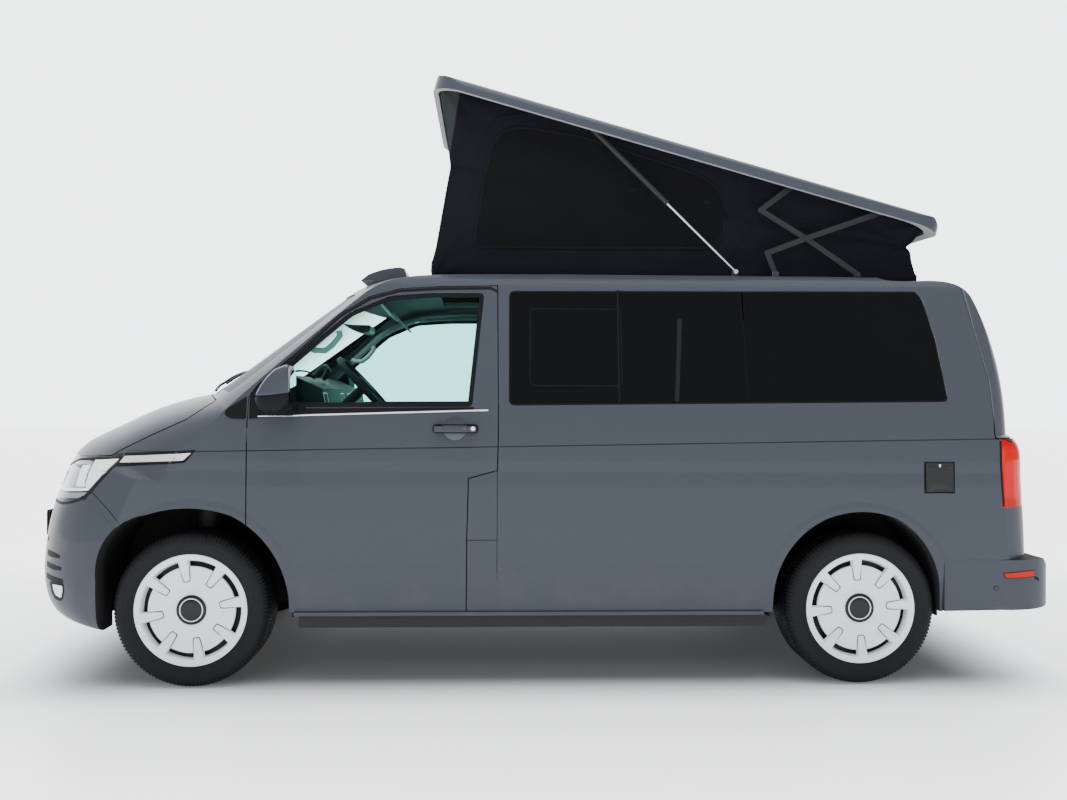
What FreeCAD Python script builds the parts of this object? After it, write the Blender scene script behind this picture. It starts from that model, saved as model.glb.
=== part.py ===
import FreeCAD, Part
import math
import os
import re
import Sketcher

V = FreeCAD.Vector
doc = FreeCAD.newDocument("camper_van")

# Driving dimensions
# Millimetres and degrees. +X points to the rear, +Y to the vehicle's right, +Z up; ground at 0.
SIZES = {
    "front_axle": -1544,
    "wheelbase": 3000,
    "axle_height": 343.5,
    "track_half": 814,
    "half_width": 952,
    "sill_height": 333,
    "belt_height": 1245,
    "roof_height": 1890,
    "panel_wall": 70,
    "skin_wall": 35,
    "glass_inset": 4,
    "glass_wall": 6,
    "shut_gap": 5,
    "door_front": 247,
    "door_rear": 1351,
    "tyre_width": 255,
    "rim_radius": 243,
    "rim_set_in": 22,
    "slot_inner": 194,
    "slot_outer": 214,
    "finger_count": 8,
    "shaft_end": 10.2,
    "floor_low": 480,
    "floor_top": 560,
    "rail_low": 270,
    "rail_inner": 770,
    "rail_outer": 850,
    "engine_low": 420,
    "engine_top": 1020,
    "liner_wall": 8,
    "wheel_bay_inner": 478,
    "rear_bay_inner": 600,
    "arm_height": 262,
    "seat_height": 1010,
    "seat_width": 500,
    "seat_offset": 400,
    "wheel_hub_x": 699,
    "wheel_hub_z": 1344,
    "roof_tilt": 15.25,
    "shell_length": 2562,
    "shell_half": 700,
    "shell_wall": 26,
    "shell_side": 62,
    "shell_top": 108,
    "shell_front": 1030,
    "shell_front_height": 2766,
    "canvas_wall": 8,
    "canvas_foot": 1852,
    "hatch_front": 1040,
    "hatch_rear": 3390,
    "hatch_half": 590,
    "bar_layer": 632,
    "bar_thick": 4,
    "bar_half": 13,
    "layer_gap": 0.3,
    "pin_radius": 5,
    "pin_play": 0.05,
    "strut_radius": 13,
    "rod_radius": 6,
    "strut_tube": 508,
}

sheet = doc.addObject("Spreadsheet::Sheet", "dims")
for row, (name, value) in enumerate(SIZES.items(), start=1):
    sheet.set("A%d" % row, name)
    sheet.set("B%d" % row, str(value))
    sheet.setAlias("B%d" % row, name)
doc.recompute()


def size(name):
    """A driving dimension, read from the sheet."""
    return float(getattr(sheet, name))


def bound(text):
    """An expression on the sheet, written with the sizes' own names."""
    return re.sub(
        r"[a-z][a-z_]+",
        lambda word: "dims." + word.group(0) if word.group(0) in SIZES else word.group(0),
        str(text),
    )


def worth(text):
    """What such an expression comes to."""
    return float(sheet.evalExpression(bound(text).replace("dims.", "")))


def at(x):
    """A place given behind the front axle, in the part's frame."""
    return size("front_axle") + x


def rear(x):
    """A place given behind the rear axle, in the part's frame."""
    return size("front_axle") + size("wheelbase") + x


# Sub-parts as objects of the document
pieces = {}


def piece(name, feature):
    """A finished sub-part under its own label; a bare shape gets an object of its own."""
    if isinstance(feature, Part.Shape):
        shape = feature
        feature = doc.addObject("Part::Feature", name)
        feature.Shape = shape
        feature.Placement = FreeCAD.Placement()
    feature.Label = name
    pieces[name] = feature
    return feature


def block(name, x, y, z):
    """A plain block between two places on each axis, each an expression on the sheet."""
    solid = doc.addObject("Part::Box", name)
    for side, axis, (low, high) in (("Length", "x", x), ("Width", "y", y), ("Height", "z", z)):
        solid.setExpression(side, bound("(%s) - (%s)" % (high, low)))
        solid.setExpression("Placement.Base." + axis, bound(low))
    return solid


def bar_between(name, start, end, radius):
    """A round bar between two points."""
    solid = doc.addObject("Part::Cylinder", name)
    first = V(*[worth(value) for value in start])
    last = V(*[worth(value) for value in end])
    solid.setExpression("Radius", bound(radius))
    solid.Height = (last - first).Length
    solid.Placement = FreeCAD.Placement(first, FreeCAD.Rotation(V(0, 0, 1), last - first))
    return solid


def united(name, parts, tidy=True):
    whole = doc.addObject("Part::MultiFuse", name)
    whole.Shapes = parts
    whole.Refine = tidy
    return whole


def cut_away(name, base, tool):
    rest = doc.addObject("Part::Cut", name)
    rest.Base = base
    rest.Tool = tool
    return rest


def kept_inside(name, base, tool):
    rest = doc.addObject("Part::Common", name)
    rest.Base = base
    rest.Tool = tool
    return rest


def mirror_of(name, source):
    """The same piece on the vehicle's other side."""
    other = doc.addObject("Part::Mirroring", name)
    other.Source = source
    other.Normal = (0, 1, 0)
    return other


def pair(name, source):
    """A piece and its mirror image, as two solids of one sub-part."""
    whole = doc.addObject("Part::Compound", name)
    whole.Links = [source, mirror_of(name + "_other_side", source)]
    return whole


def sketched(body, name, plane, points):
    """A closed sketch on one of the body's own planes, from (across, up) or, for an arc, (across, up, bow)."""
    sketch = body.newObject("Sketcher::SketchObject", name)
    base = [item for item in body.Origin.OriginFeatures if item.Role == plane + "_Plane"][0]
    sketch.AttachmentSupport = [(base, "")]
    sketch.MapMode = "FlatFace"
    places = [V(worth(point[0]), worth(point[1]), 0) for point in points]
    ends = []
    for i, start in enumerate(places):
        ahead = (i + 1) % len(points)
        end = places[ahead]
        if len(points[ahead]) == 2:
            sketch.addGeometry(Part.LineSegment(start, end), False)
            ends.append((1, 2))
        else:
            chord = end - start
            side = V(-chord.y, chord.x, 0).normalize()
            middle = (start + end) * 0.5 + side * worth(points[ahead][2])
            sketch.addGeometry(Part.Arc(start, middle, end), False)
            forward = sketch.getPoint(i, 1).distanceToPoint(start) < 1e-6
            ends.append((1, 2) if forward else (2, 1))
    for i in range(len(points)):
        ahead = (i + 1) % len(points)
        sketch.addConstraint(Sketcher.Constraint("Coincident", i, ends[i][1], ahead, ends[ahead][0]))
        if len(points[ahead]) == 3:
            sketch.addConstraint(Sketcher.Constraint("Radius", i, sketch.Geometry[i].Radius))
        for kind, axis in (("DistanceX", 0), ("DistanceY", 1)):
            number = sketch.addConstraint(Sketcher.Constraint(kind, -1, 1, i, ends[i][0], places[i][axis]))
            if isinstance(points[i][axis], str):
                sketch.setExpression("Constraints[%d]" % number, bound(points[i][axis]))
    return sketch


def slab(body, name, plane, points, length, hole=False, middle=True, back=False):
    """A pad, or a pocket, of an outline on one of the body's planes."""
    made_of = sketched(body, name + "_outline", plane, points)
    made = body.newObject("PartDesign::Pocket" if hole else "PartDesign::Pad", name)
    made.Profile = made_of
    made.setExpression("Length", bound(length))
    made.Midplane = middle
    made.Reversed = back
    return made


def ring_of(body, name, points):
    """A ring or disc turned about the body's own Y axis, from its outline (along the axle, radius)."""
    made_of = sketched(body, name + "_outline", "YZ", points)
    made = body.newObject("PartDesign::Revolution", name)
    made.Profile = made_of
    made.ReferenceAxis = (made_of, ["H_Axis"])
    made.Angle = 360
    return made


def repeated(body, name, original, count):
    """A feature repeated round the normal of its own sketch."""
    around = body.newObject("PartDesign::PolarPattern", name)
    around.Originals = [original]
    around.Axis = (original.Profile[0], ["N_Axis"])
    around.Angle = 360
    around.setExpression("Occurrences", bound(count))
    body.Tip = around
    return around


# Outlines and plain shapes for the body panels
def path(points):
    """A closed wire: (x, y, z) corners, with ("arc", (x, y, z)) giving a point that the next run bends over."""
    edges = []
    last = None
    mid = None
    for point in points + points[:1]:
        if point[0] == "arc":
            mid = V(*point[1])
            continue
        here = V(*point)
        if last is not None:
            run = Part.LineSegment(last, here) if mid is None else Part.Arc(last, mid, here)
            edges.append(run.toShape())
        last = here
        mid = None
    return Part.Wire(edges)


def turned_up(points, place):
    """Outline points with their arcs, each put in space by the place function."""
    return [("arc", place(*point[1])) if point[0] == "arc" else place(*point) for point in points]


def side_wire(points):
    """An outline (x behind the front axle, z) in the plane y = 0."""
    return path(turned_up(points, lambda x, z: (at(x), 0, z)))


def carried(wire, start, run):
    face = Part.Face(wire)
    face.translate(start)
    return face.extrude(run)


def region(points, low=-1200, high=1200, grow=0):
    """A side outline carried across the van from y = low to y = high, grown by a margin."""
    wire = side_wire(points)
    if grow:
        wire = wire.makeOffset2D(grow)
    return carried(wire, V(0, low, 0), V(0, high - low, 0))


def front_region(points, x0, x1):
    """An outline in the front view (y, z), carried from x0 to x1 behind the front axle."""
    wire = path(turned_up(points, lambda y, z: (0, y, z)))
    return carried(wire, V(at(x0), 0, 0), V(x1 - x0, 0, 0))


def rounded(points, radius):
    """Corners of a closed outline, each rounded by the one radius."""
    out = []
    count = len(points)
    for i, point in enumerate(points):
        here = V(point[0], point[1], 0)
        before = V(*points[i - 1], 0) - here
        after = V(*points[(i + 1) % count], 0) - here
        half = before.getAngle(after) / 2
        back = min(radius / math.tan(half), before.Length * 0.45, after.Length * 0.45)
        first = here + before.normalize() * back
        second = here + after.normalize() * back
        bow = back * math.tan(half) * (1 / math.sin(half) - 1)
        mid = here + (before + after).normalize() * bow
        out += [(first.x, first.y), ("arc", (mid.x, mid.y)), (second.x, second.y)]
    return out


def room(x0, x1, y0, y1, z0, z1):
    """A plain cutting block, x measured behind the front axle."""
    return Part.makeBox(x1 - x0, y1 - y0, z1 - z0, V(at(x0), y0, z0))


def mirrored(shape):
    return shape.mirror(V(0, 0, 0), V(0, 1, 0))


def both(shape):
    return Part.makeCompound([shape, mirrored(shape)])


def less(shape, *tools):
    return shape.cut(Part.makeCompound(list(tools)))


def fused(shapes):
    return shapes[0].multiFuse(shapes[1:]).removeSplitter()


# Outer form of the van
# Profiles in the centre plane, x behind the front axle and z, from the nose over the roof to the tail, and
# how far they move and drop towards the sides.
NOSE = [(-700, 236), (-790, 250), (-868, 300), (-903, 380), (-908, 550), (-882, 720), (-838, 856), (-790, 972)]
BONNET = [(-790, 972), (-700, 1078), (-575, 1142), (-475, 1189), (-325, 1250), (-175, 1292), (-70, 1312)]
SCREEN = [(-70, 1312), (95, 1436), (260, 1559), (425, 1682), (560, 1780)]
HEADER = [(560, 1780), (640, 1830), (760, 1866), (1000, 1884)]
ROOF = [(1000, 1884), (2200, 1892), (3200, 1888)]
ROOF_END = [(3200, 1888), (3480, 1874), (3590, 1846), (3640, 1800)]
GLASS_END = [(3640, 1800), (3736, 1572), (3789, 1338), (3808, 1130)]
TAIL = [(3808, 1130), (3857, 1098), (3880, 964), (3890, 776), (3899, 565), (3880, 236)]
STATIONS = [0, 250, 500, 700, 800, 870, 920, 960]
NOSE_BACK = [0, 24, 98, 200, 285, 370, 460, 580]
SCREEN_BACK = [0, 14, 57, 114, 152, 186, 214, 240]
TAIL_FORE = [0, 8, 29, 56, 78, 116, 172, 245]
BONNET_DROP = [0, 8, 40, 104, 160, 215, 262, 310]
ROOF_DROP = [0, 2, 10, 20, 27, 32, 36, 40]
BELOW = 200


def shaped(points, station, part):
    """One run of the profile moved to its place at one station across the width."""
    i = STATIONS.index(abs(station))
    nose, screen, tail = NOSE_BACK[i], SCREEN_BACK[i], TAIL_FORE[i]
    bonnet, roof = BONNET_DROP[i], ROOF_DROP[i]
    out = []
    for step, (x, z) in enumerate(points):
        share = step / (len(points) - 1)
        dx, dz = {
            "nose": (nose, -bonnet * 0.2 * share ** 2),
            "bonnet": (
                nose * (1 - share) + screen * share,
                -bonnet * (0.2 + 0.8 * min(1, 3 * share)) * (1 - share * 0.72),
            ),
            "screen": (screen, -bonnet * 0.28 * (1 - share) - roof * share),
            "header": (screen, -roof),
            "roof": (screen * (1 - share) - tail * share, -roof),
            "roof_end": (-tail, -roof),
            "glass_end": (-tail, -roof * (1 - share)),
            "tail": (-tail, 0),
        }[part]
        out.append((x + dx, z + dz))
    return out


def moved_in(runs, inset):
    """The runs of one profile moved inwards by a wall, each point along its own normal."""
    if not inset:
        return runs
    flat = [point for run in runs for point in run[:-1]] + [runs[-1][-1]]
    moved = []
    for i, (x, z) in enumerate(flat):
        ahead = flat[min(i + 1, len(flat) - 1)]
        behind = flat[max(i - 1, 0)]
        along = V(ahead[0] - behind[0], ahead[1] - behind[1], 0).normalize()
        moved.append((x + along.y * inset, z - along.x * inset))
    out = []
    start = 0
    for run in runs:
        out.append(moved[start : start + len(run)])
        start += len(run) - 1
    return out


def is_outer(inset):
    return inset <= size("glass_inset") + size("glass_wall")


def profile(station, inset):
    """The closed side profile at one station; the inner walls have straighter runs than the outer skin."""
    y = station * (1 - inset / STATIONS[-1])
    runs = []
    for points, part in (
        (NOSE, "nose"),
        (BONNET, "bonnet"),
        (SCREEN, "screen"),
        (HEADER, "header"),
        (ROOF, "roof"),
        (ROOF_END, "roof_end"),
        (GLASS_END, "glass_end"),
        (TAIL, "tail"),
    ):
        run = shaped(points, station, part)
        runs.append(run if is_outer(inset) else run[:-1:2] + run[-1:])
    runs = moved_in(runs, inset)
    edges = []
    for run in runs:
        points = [V(at(x), y, z) for x, z in run]
        if is_outer(inset):
            curve = Part.BSplineCurve()
            curve.interpolate(points)
            edges.append(curve.toShape())
        else:
            edges += [Part.LineSegment(a, b).toShape() for a, b in zip(points, points[1:])]
    tail = at(runs[-1][-1][0])
    nose = at(runs[0][0][0])
    corners = [V(tail, y, runs[-1][-1][1]), V(tail, y, BELOW), V(nose, y, BELOW), V(nose, y, runs[0][0][1])]
    edges += [Part.LineSegment(a, b).toShape() for a, b in zip(corners, corners[1:])]
    return Part.Wire(edges)


def cross_section(inset):
    """The van's section, the same all along: sill, bulged side, leaning windows and round roof edge."""
    half = size("half_width")
    belt = size("belt_height")
    top = size("roof_height") + 6
    right = [
        (half - 44, 100),
        (half - 26, 330),
        ("arc", (half - 2, 620)),
        (half - 3, 960),
        ("arc", (half - 8, 1110)),
        (half - 24, belt),
        (half - 114, 1770),
        ("arc", (half - 142, 1832)),
        (half - 212, 1868),
    ]
    left = [("arc", (-p[1][0], p[1][1])) if p[0] == "arc" else (-p[0], p[1]) for p in reversed(right)]
    wire = path(turned_up(right + [("arc", (0, top))] + left, lambda y, z: (0, y, z)))
    if inset:
        wire = wire.makeOffset2D(-inset)
    return carried(wire, V(-2700, 0, 0), V(5400, 0, 0))


hulls = {}


def hull(inset):
    """The whole body's outer form, or that form moved inwards by a wall."""
    if inset not in hulls:
        across = [-y for y in reversed(STATIONS[1:])] + STATIONS
        loft = Part.makeLoft([profile(y, inset) for y in across], True, False)
        hulls[inset] = loft.common(cross_section(inset))
    return hulls[inset]


def shell(inner, outer=0):
    return hull(outer).cut(hull(inner))


wall_shell = shell(size("panel_wall"))
skin_shell = shell(size("skin_wall"))
glass_shell = shell(size("glass_inset") + size("glass_wall"), size("glass_inset"))
cab_form = doc.addObject("Part::Feature", "cab_form")
cab_form.Shape = hull(size("panel_wall"))
cab_form.Placement = FreeCAD.Placement()

# Shut lines and openings in the side view, x behind the front axle
gap = size("shut_gap")
sill = size("sill_height")
hinge_x = size("door_front")
door_x = size("door_rear")
DOOR = [
    (hinge_x, sill),
    (door_x - 133, sill),
    (door_x - 137, 657),
    (door_x - 130, 933),
    (door_x - 1, 968),
    (door_x + 22, 1800),
    (1088, 1793),
    (907, 1782),
    (772, 1745),
    (637, 1662),
    (458, 1493),
    (289, 1343),
    (hinge_x + 3, 1290),
    (hinge_x, 1187),
]
DOOR_GLASS = [(345, 1243), (1238, 1250), (1290, 1768), (1060, 1766), (863, 1752), (683, 1674), (549, 1560), (352, 1376)]
SIDE_GLASS = [(1402, 1256), (3406, 1281), (3365, 1565), (3317, 1747), (3290, 1793), (1402, 1779)]
FRONT_ARCH = [
    (-414, BELOW),
    (-414, 480),
    ("arc", (-345, 690)),
    (-190, 768),
    ("arc", (0, 797)),
    (180, 764),
    ("arc", (348, 618)),
    (430, 392),
    (436, BELOW),
]
REAR_ARCH = [
    (2594, BELOW),
    (2602, 420),
    ("arc", (2680, 624)),
    (2830, 748),
    ("arc", (2991, 783)),
    (3160, 752),
    ("arc", (3300, 620)),
    (3364, 410),
    (3372, BELOW),
]
BONNET_LINE = [(-403, 1022), (-372, 1045), (-273, 1090), (-139, 1150), (-49, 1191), (50, 1265), (80, 1296)]
LAMP = [(-1000, 805.5), (-622, 815.5), (-489, 823.5), (-347, 1012), (-345, 1030), (-1000, 1030)]
WALL_REACH = 1200
DOOR_SLANT = 0.2126


def door_prism(grow):
    """The door's outline through the wall, its rear edge slanted so that it swings clear of the pillar."""
    wires = []
    for y in (-1000, -700):
        slant = -DOOR_SLANT * (y + size("half_width") - 2)
        wire = side_wire([(x + (slant if x > door_x - 200 else 0), z) for x, z in DOOR])
        if grow:
            wire = wire.makeOffset2D(grow, 2)
        wire.translate(V(0, y, 0))
        wires.append(wire)
    return Part.makeLoft(wires, True, True)


door_cut_left = door_prism(gap)
door_cut_right = mirrored(door_cut_left)
inner_bay = size("wheel_bay_inner")
rear_bay = size("rear_bay_inner")
front_arch_left = region(FRONT_ARCH, -WALL_REACH, -inner_bay)
rear_arch_left = region(REAR_ARCH, -WALL_REACH, -rear_bay)
arches = [front_arch_left, mirrored(front_arch_left), rear_arch_left, mirrored(rear_arch_left)]
lamp_room = region(LAMP, grow=0.5)


def bonnet_region(grow):
    """The bonnet's side outline met with its outline from above."""
    side = BONNET_LINE + [(120, 1330), (120, 1500), (-1100, 1500), (-1100, 985)]
    plan = [(140, -1100), (78, -800), ("arc", (-88, 0)), (78, 800), (140, 1100), (-1200, 1100), (-1200, -1100)]
    plan = path(turned_up(plan, lambda x, y: (at(x), y, 900)))
    if grow:
        plan = plan.makeOffset2D(grow)
    return region(side, grow=grow).common(carried(plan, V(0, 0, 0), V(0, 0, 700)))


bonnet_hole = bonnet_region(gap)


# Front body
def bonnet_panel():
    """The bonnet: an outer skin and inner panel as one."""
    piece("bonnet", skin_shell.common(bonnet_region(0)))


def headlamp_blocks():
    """Both headlamps, wrapping from the nose into the wings beside the grille."""
    lamps = wall_shell.common(region(LAMP)).cut(bonnet_hole)
    piece("headlamps", lamps.cut(room(-1200, 0, -479.5, 479.5, 700, 1100)))


GRILLE_FRAME = room(-1200, -600, -479, 479, 805.5, 979)
LOUVRE_ROOM = room(-1200, -832, -760, 760, 402, 577)


def grille_slats():
    """The upper grille with three slots, and the three louvres of the bumper's intake."""
    slots = [room(-1200, -600, -450, 450, z, z + 34) for z in (826, 876, 926)]
    upper = less(skin_shell.common(GRILLE_FRAME), *slots)
    behind = hull(size("glass_inset")).cut(hull(size("skin_wall")))
    slats = [behind.common(room(-1200, -832, -759.5, 759.5, z, z + 34)) for z in (412, 468, 524)]
    piece("grille", Part.makeCompound([upper] + slats))


BUMPER = [(-1100, 805), (-622, 815), (-489, 823), (-440, 825), (-363, 740), (-287, 684), (-287, BELOW), (-1100, BELOW)]


def front_bumper_cover():
    """The front bumper with a wide louvred intake, a lower slot and the wheel arches cut out of it."""
    bumper = less(wall_shell.common(region(BUMPER)), room(-1200, 0, -1100, 1100, 100, 236), *arches[:2])
    lower_slot = room(-1200, -600, -560, 560, 341, 384)
    bumper = less(bumper, GRILLE_FRAME, LOUVRE_ROOM, lower_slot, lamp_room)
    piece("front_bumper", bumper)
    return bumper


WING = [
    (-400, 1012),
    (-346, 1010),
    (-488.5, 824),
    (-440, 825.5),
    (-362.5, 740.5),
    (-286.5, 684),
    (-286.5, BELOW),
    (hinge_x - gap, BELOW),
    (hinge_x - gap, 1195),
    (178, 1195),
    (144, 1234),
    (70, 1261.5),
    (-400, 1261.5),
]


def front_wing_pair():
    """The front wings, with the pads that carry the doors' hinges."""
    wing = less(skin_shell.common(region(WING, -WALL_REACH, -400)), front_arch_left, bonnet_hole, lamp_room)
    wing = wing.cut(room(-400, 200, -700, 0, 900, 1400))
    pads = [room(hinge_x - 20, hinge_x - 0.3, -940, -922, z, z + 60) for z in (830, 1090)]
    piece("front_wings", both(fused([wing] + pads)))


SCREEN_HOLE = front_region(
    [(-795, 1306), ("arc", (0, 1346)), (795, 1306), ("arc", (782, 1560)), (728, 1768), ("arc", (0, 1784)), (-728, 1768),
     ("arc", (-782, 1560))],
    -200,
    760,
)
FRAME = [
    (-140, 1262),
    (70, 1262),
    (144, 1234),
    (178, 1195),
    (hinge_x + 60, 1195),
    (743, 1640),
    (743, 2000),
    (-140, 2000),
]


def screen_surround():
    """The pillars, cowl and header round the windscreen, with two rubber buffers behind the bonnet."""
    frame = less(wall_shell.common(region(FRAME)), SCREEN_HOLE, bonnet_hole, door_cut_left, door_cut_right)
    between = bonnet_hole.cut(bonnet_region(0.3))
    buffers = [skin_shell.common(between).common(room(-120, 140, y - 15, y + 15, 1100, 1400)) for y in (-520, 520)]
    piece("screen_frame", fused([frame] + buffers))
    piece("windscreen", glass_shell.common(SCREEN_HOLE))


# Sides, roof and tail
SIDE = [
    (1200, 328),
    (1200, 942),
    (1300, 974),
    (1300, 1801),
    (1378, 1811.5),
    (3499, 1811.5),
    (3546, 1610),
    (3597, 1382),
    (3613, 1112),
    (3640, 1112),
    (3640, 565),
    (3380, 565),
    (3380, 328),
]
SLIDER = [(1362, 372), (1362, 960), (1386, 1800), (2488, 1800), (2488, 372)]
SIDE_HOLE = region(rounded(SIDE_GLASS, 26), -WALL_REACH, -600)
FLAP = (3288, 3418, 873, 1005)


def cover_grooves():
    """The grooves between the fixed covers behind the left door and the side panel."""
    upright = room(1350, 1354, -1000, -940, sill - 10, 972)
    level = room(1205, 1352, -1000, -940, 655, 659)
    return [upright.cut(hull(6)), level.cut(hull(6))]


def side_panels():
    """The side panels, the right one in two: the fixed rear and the sliding door."""
    liner_room = region(REAR_ARCH, -880.3, -rear_bay, size("liner_wall") + 0.3)
    plain = less(
        wall_shell.common(region(SIDE, -WALL_REACH, -600)), SIDE_HOLE, rear_arch_left, door_cut_left, liner_room
    )
    x0, x1, z0, z1 = FLAP
    flap_room = room(x0 - gap, x1 + gap, -1000, -931, z0 - gap, z1 + gap)
    piece("body_side_left", less(plain, flap_room, *cover_grooves()))
    right = mirrored(plain)
    slider_room = mirrored(region(SLIDER, -WALL_REACH, -600))
    grip = both(handle(1440)).Solids[1]
    slider = right.common(slider_room)
    piece("body_side_right", right.cut(slider_room))
    piece("sliding_door", slider.fuse(grip).removeSplitter())
    return plain


def handle(x):
    """A bow handle standing on two feet ahead of the door's skin, x at its front end."""
    grip = room(x, x + 190, -974, -960, 1136, 1164)
    grip = grip.makeFillet(6, grip.Edges)
    feet = [room(x + start, x + start + 34, -966, -920, 1139, 1161) for start in (4, 152)]
    return fused([grip] + feet)


def side_glazing():
    """The long dark windows, each in two panes with a narrow seam, flush in the side panels."""
    seam = region([(2486, 1240), (2491, 1240), (2475, 1820), (2470, 1820)], -WALL_REACH, -600)
    left = glass_shell.common(SIDE_HOLE).cut(seam)
    right = less(mirrored(left), room(2474, 2501, 0, WALL_REACH, 1000, 2000))
    piece("side_windows", Part.makeCompound(left.Solids + right.Solids))


TAIL_LINE = [(3505, 1842), (3552, 1610), (3603, 1382), (3620, 1118)]


def tail_panels():
    """The tailgate with its window, the tail lamps and the corner panels below them."""
    window = front_region(rounded([(-720, 1150), (720, 1150), (660, 1768), (-660, 1768)], 60), 3400, 4100)
    upper = region([(3505, 2000)] + TAIL_LINE + [(4100, 1118), (4100, 2000)])
    lower = region([(3646, 1118), (4100, 1118), (4100, 570), (3646, 570)], -775, 775)
    grip = room(3860, 3912, -90, 90, 1040, 1066)
    recess = room(3850, 4000, -280, 280, 760, 900).cut(hull(8))
    gate = wall_shell.common(upper.fuse(lower)).cut(window).cut(recess)
    piece("tailgate", gate.fuse(grip.makeFillet(8, grip.Edges)).removeSplitter())
    piece("tailgate_glass", glass_shell.common(window).common(room(3400, 4100, -1000, 1000, 1100, 2000)))
    corner = wall_shell.common(room(3640, 4100, -WALL_REACH, -780, 565, 1113))
    lamp = room(3500, 4100, -WALL_REACH, 0, 803, 1113)
    piece("tail_lamps", both(corner.common(lamp)))
    piece("rear_corners", both(corner.cut(lamp)))


REAR_BUMPER = [
    (3380.5, 564.5),
    (3868, 564.5),
    (3938, 502),
    (3958, 448),
    (3974, 436),
    ("arc", (3996, 400)),
    (3974, 354),
    (3900, 341),
    (3380.5, 333),
]


def rear_bumper_cover(plain_side):
    """The rear bumper, a full-depth moulding wrapping round both corners."""
    plan = [
        (3300, -947),
        (3640, -947),
        ("arc", (3855, -900)),
        (3940, -760),
        ("arc", (3996, 0)),
        (3940, 760),
        ("arc", (3855, 900)),
        (3640, 947),
        (3300, 947),
    ]
    cover = carried(path(turned_up(plan, lambda x, y: (at(x), y, 200))), V(0, 0, 0), V(0, 0, 500))
    cover = less(region(REAR_BUMPER).common(cover), hull(size("panel_wall")), *arches[2:])
    cover = cover.cut(plain_side).cut(mirrored(plain_side))
    piece("rear_bumper", cover)
    return cover


# Doors
def front_doors():
    """Both front doors with their window, mirror and handle; each is one wall from skin to trim."""
    opening = region(rounded(DOOR_GLASS, 24), -WALL_REACH, -700)
    liner_room = region(FRONT_ARCH, -868 - gap, -inner_bay, size("liner_wall") + gap)
    door = wall_shell.common(door_prism(0)).common(room(0, 1600, -WALL_REACH, 0, 0, 2000))
    door = less(door, opening, front_arch_left, liner_room)
    door = door.fuse(handle(1069)).removeSplitter()
    glass = glass_shell.common(opening)
    head = room(300, 440, -1146, -960, 1236, 1418)
    head = head.makeFillet(26, head.Edges)
    mirror = fused([head, room(330, 420, -975, -905, 1240, 1262)])
    for hand, turn in (("left", lambda shape: shape), ("right", mirrored)):
        piece("front_door_" + hand, turn(door.cut(mirror)))
        piece("front_door_glass_" + hand, turn(glass.cut(mirror)))
        piece("door_mirror_" + hand, turn(mirror))


# Floor and running gear
def floor_and_rails():
    """The floor pan with firewall, sill rails, front and rear rails and cross beams, open over the wheels."""
    parts = [
        block("floor", ("front_axle + 20", "front_axle + 3700"), (-900, 900), ("floor_low", "floor_top")),
        block("firewall", ("front_axle + 20", "front_axle + 60"), (-900, 900), ("floor_low - 10", 1240)),
        block("front_beam", ("front_axle - 900", "front_axle - 700"), (-500, 500), (300, "floor_low")),
        block("rear_beam", ("front_axle + 3700", "front_axle + 4000"), (-600, 600), (400, "floor_low + 5")),
    ]
    for hand, side in (("left", -1), ("right", 1)):
        for name, start, end, inner, outer, low in (
            ("sill_rail", 470, 2560, "rail_inner", "rail_outer", "rail_low"),
            ("front_rail", -780, 640, 380, 460, 300),
            ("rear_rail", 2400, 3780, 480, 560, 400),
        ):
            across = (inner, outer) if side > 0 else ("-%s" % outer, "-%s" % inner)
            along = ("front_axle + %d" % start, "front_axle + %d" % end)
            parts.append(block("%s_%s" % (name, hand), along, across, (low, "floor_low + 5")))
    whole = kept_inside("floor_in_body", united("floor_and_beams", parts), cab_form)
    margin = size("liner_wall")
    front_bay = region(FRONT_ARCH, -WALL_REACH, -inner_bay + margin, margin)
    back_bay = region(REAR_ARCH, -WALL_REACH, -rear_bay + margin, margin)
    door_room = room(200, 1240, -WALL_REACH, -870, 0, 1300)
    bays = doc.addObject("Part::Feature", "wheel_bays")
    cuts = [front_bay, back_bay, door_room]
    bays.Shape = Part.makeCompound(cuts + [mirrored(cut) for cut in cuts])
    piece("underbody", cut_away("underbody", whole, bays))


def wheel_arch_liners(front_cover, rear_cover):
    """Thin moulded liners round the upper half of each wheel bay, open for the axle and arms."""
    wall = size("liner_wall")
    front = region(FRONT_ARCH, -868, -inner_bay + wall, wall).cut(front_arch_left)
    back = region(REAR_ARCH, -880, -rear_bay + wall, wall).cut(rear_arch_left)
    below = room(-700, 4000, -WALL_REACH, WALL_REACH, 0, 300)
    axle_way = room(2670, 3150, -650, 650, 0, 460)
    front = less(front, below).cut(front_cover)
    back = less(back, below, axle_way).cut(rear_cover)
    piece("arch_liners", Part.makeCompound([front, back, mirrored(front), mirrored(back)]))


def engine():
    """The engine and gearbox as one plain block on two mounts between the front rails."""
    parts = [block("engine_case", ("front_axle - 480", "front_axle + 10"), (-330, 330), ("engine_low", "engine_top"))]
    for hand, side in (("left", -1), ("right", 1)):
        across = sorted((side * 320, side * 380))
        along = ("front_axle - 300", "front_axle - 220")
        parts.append(block("engine_mount_" + hand, along, across, ("engine_low", "engine_low + 50")))
    piece("engine_block", united("engine_block", parts))


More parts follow.
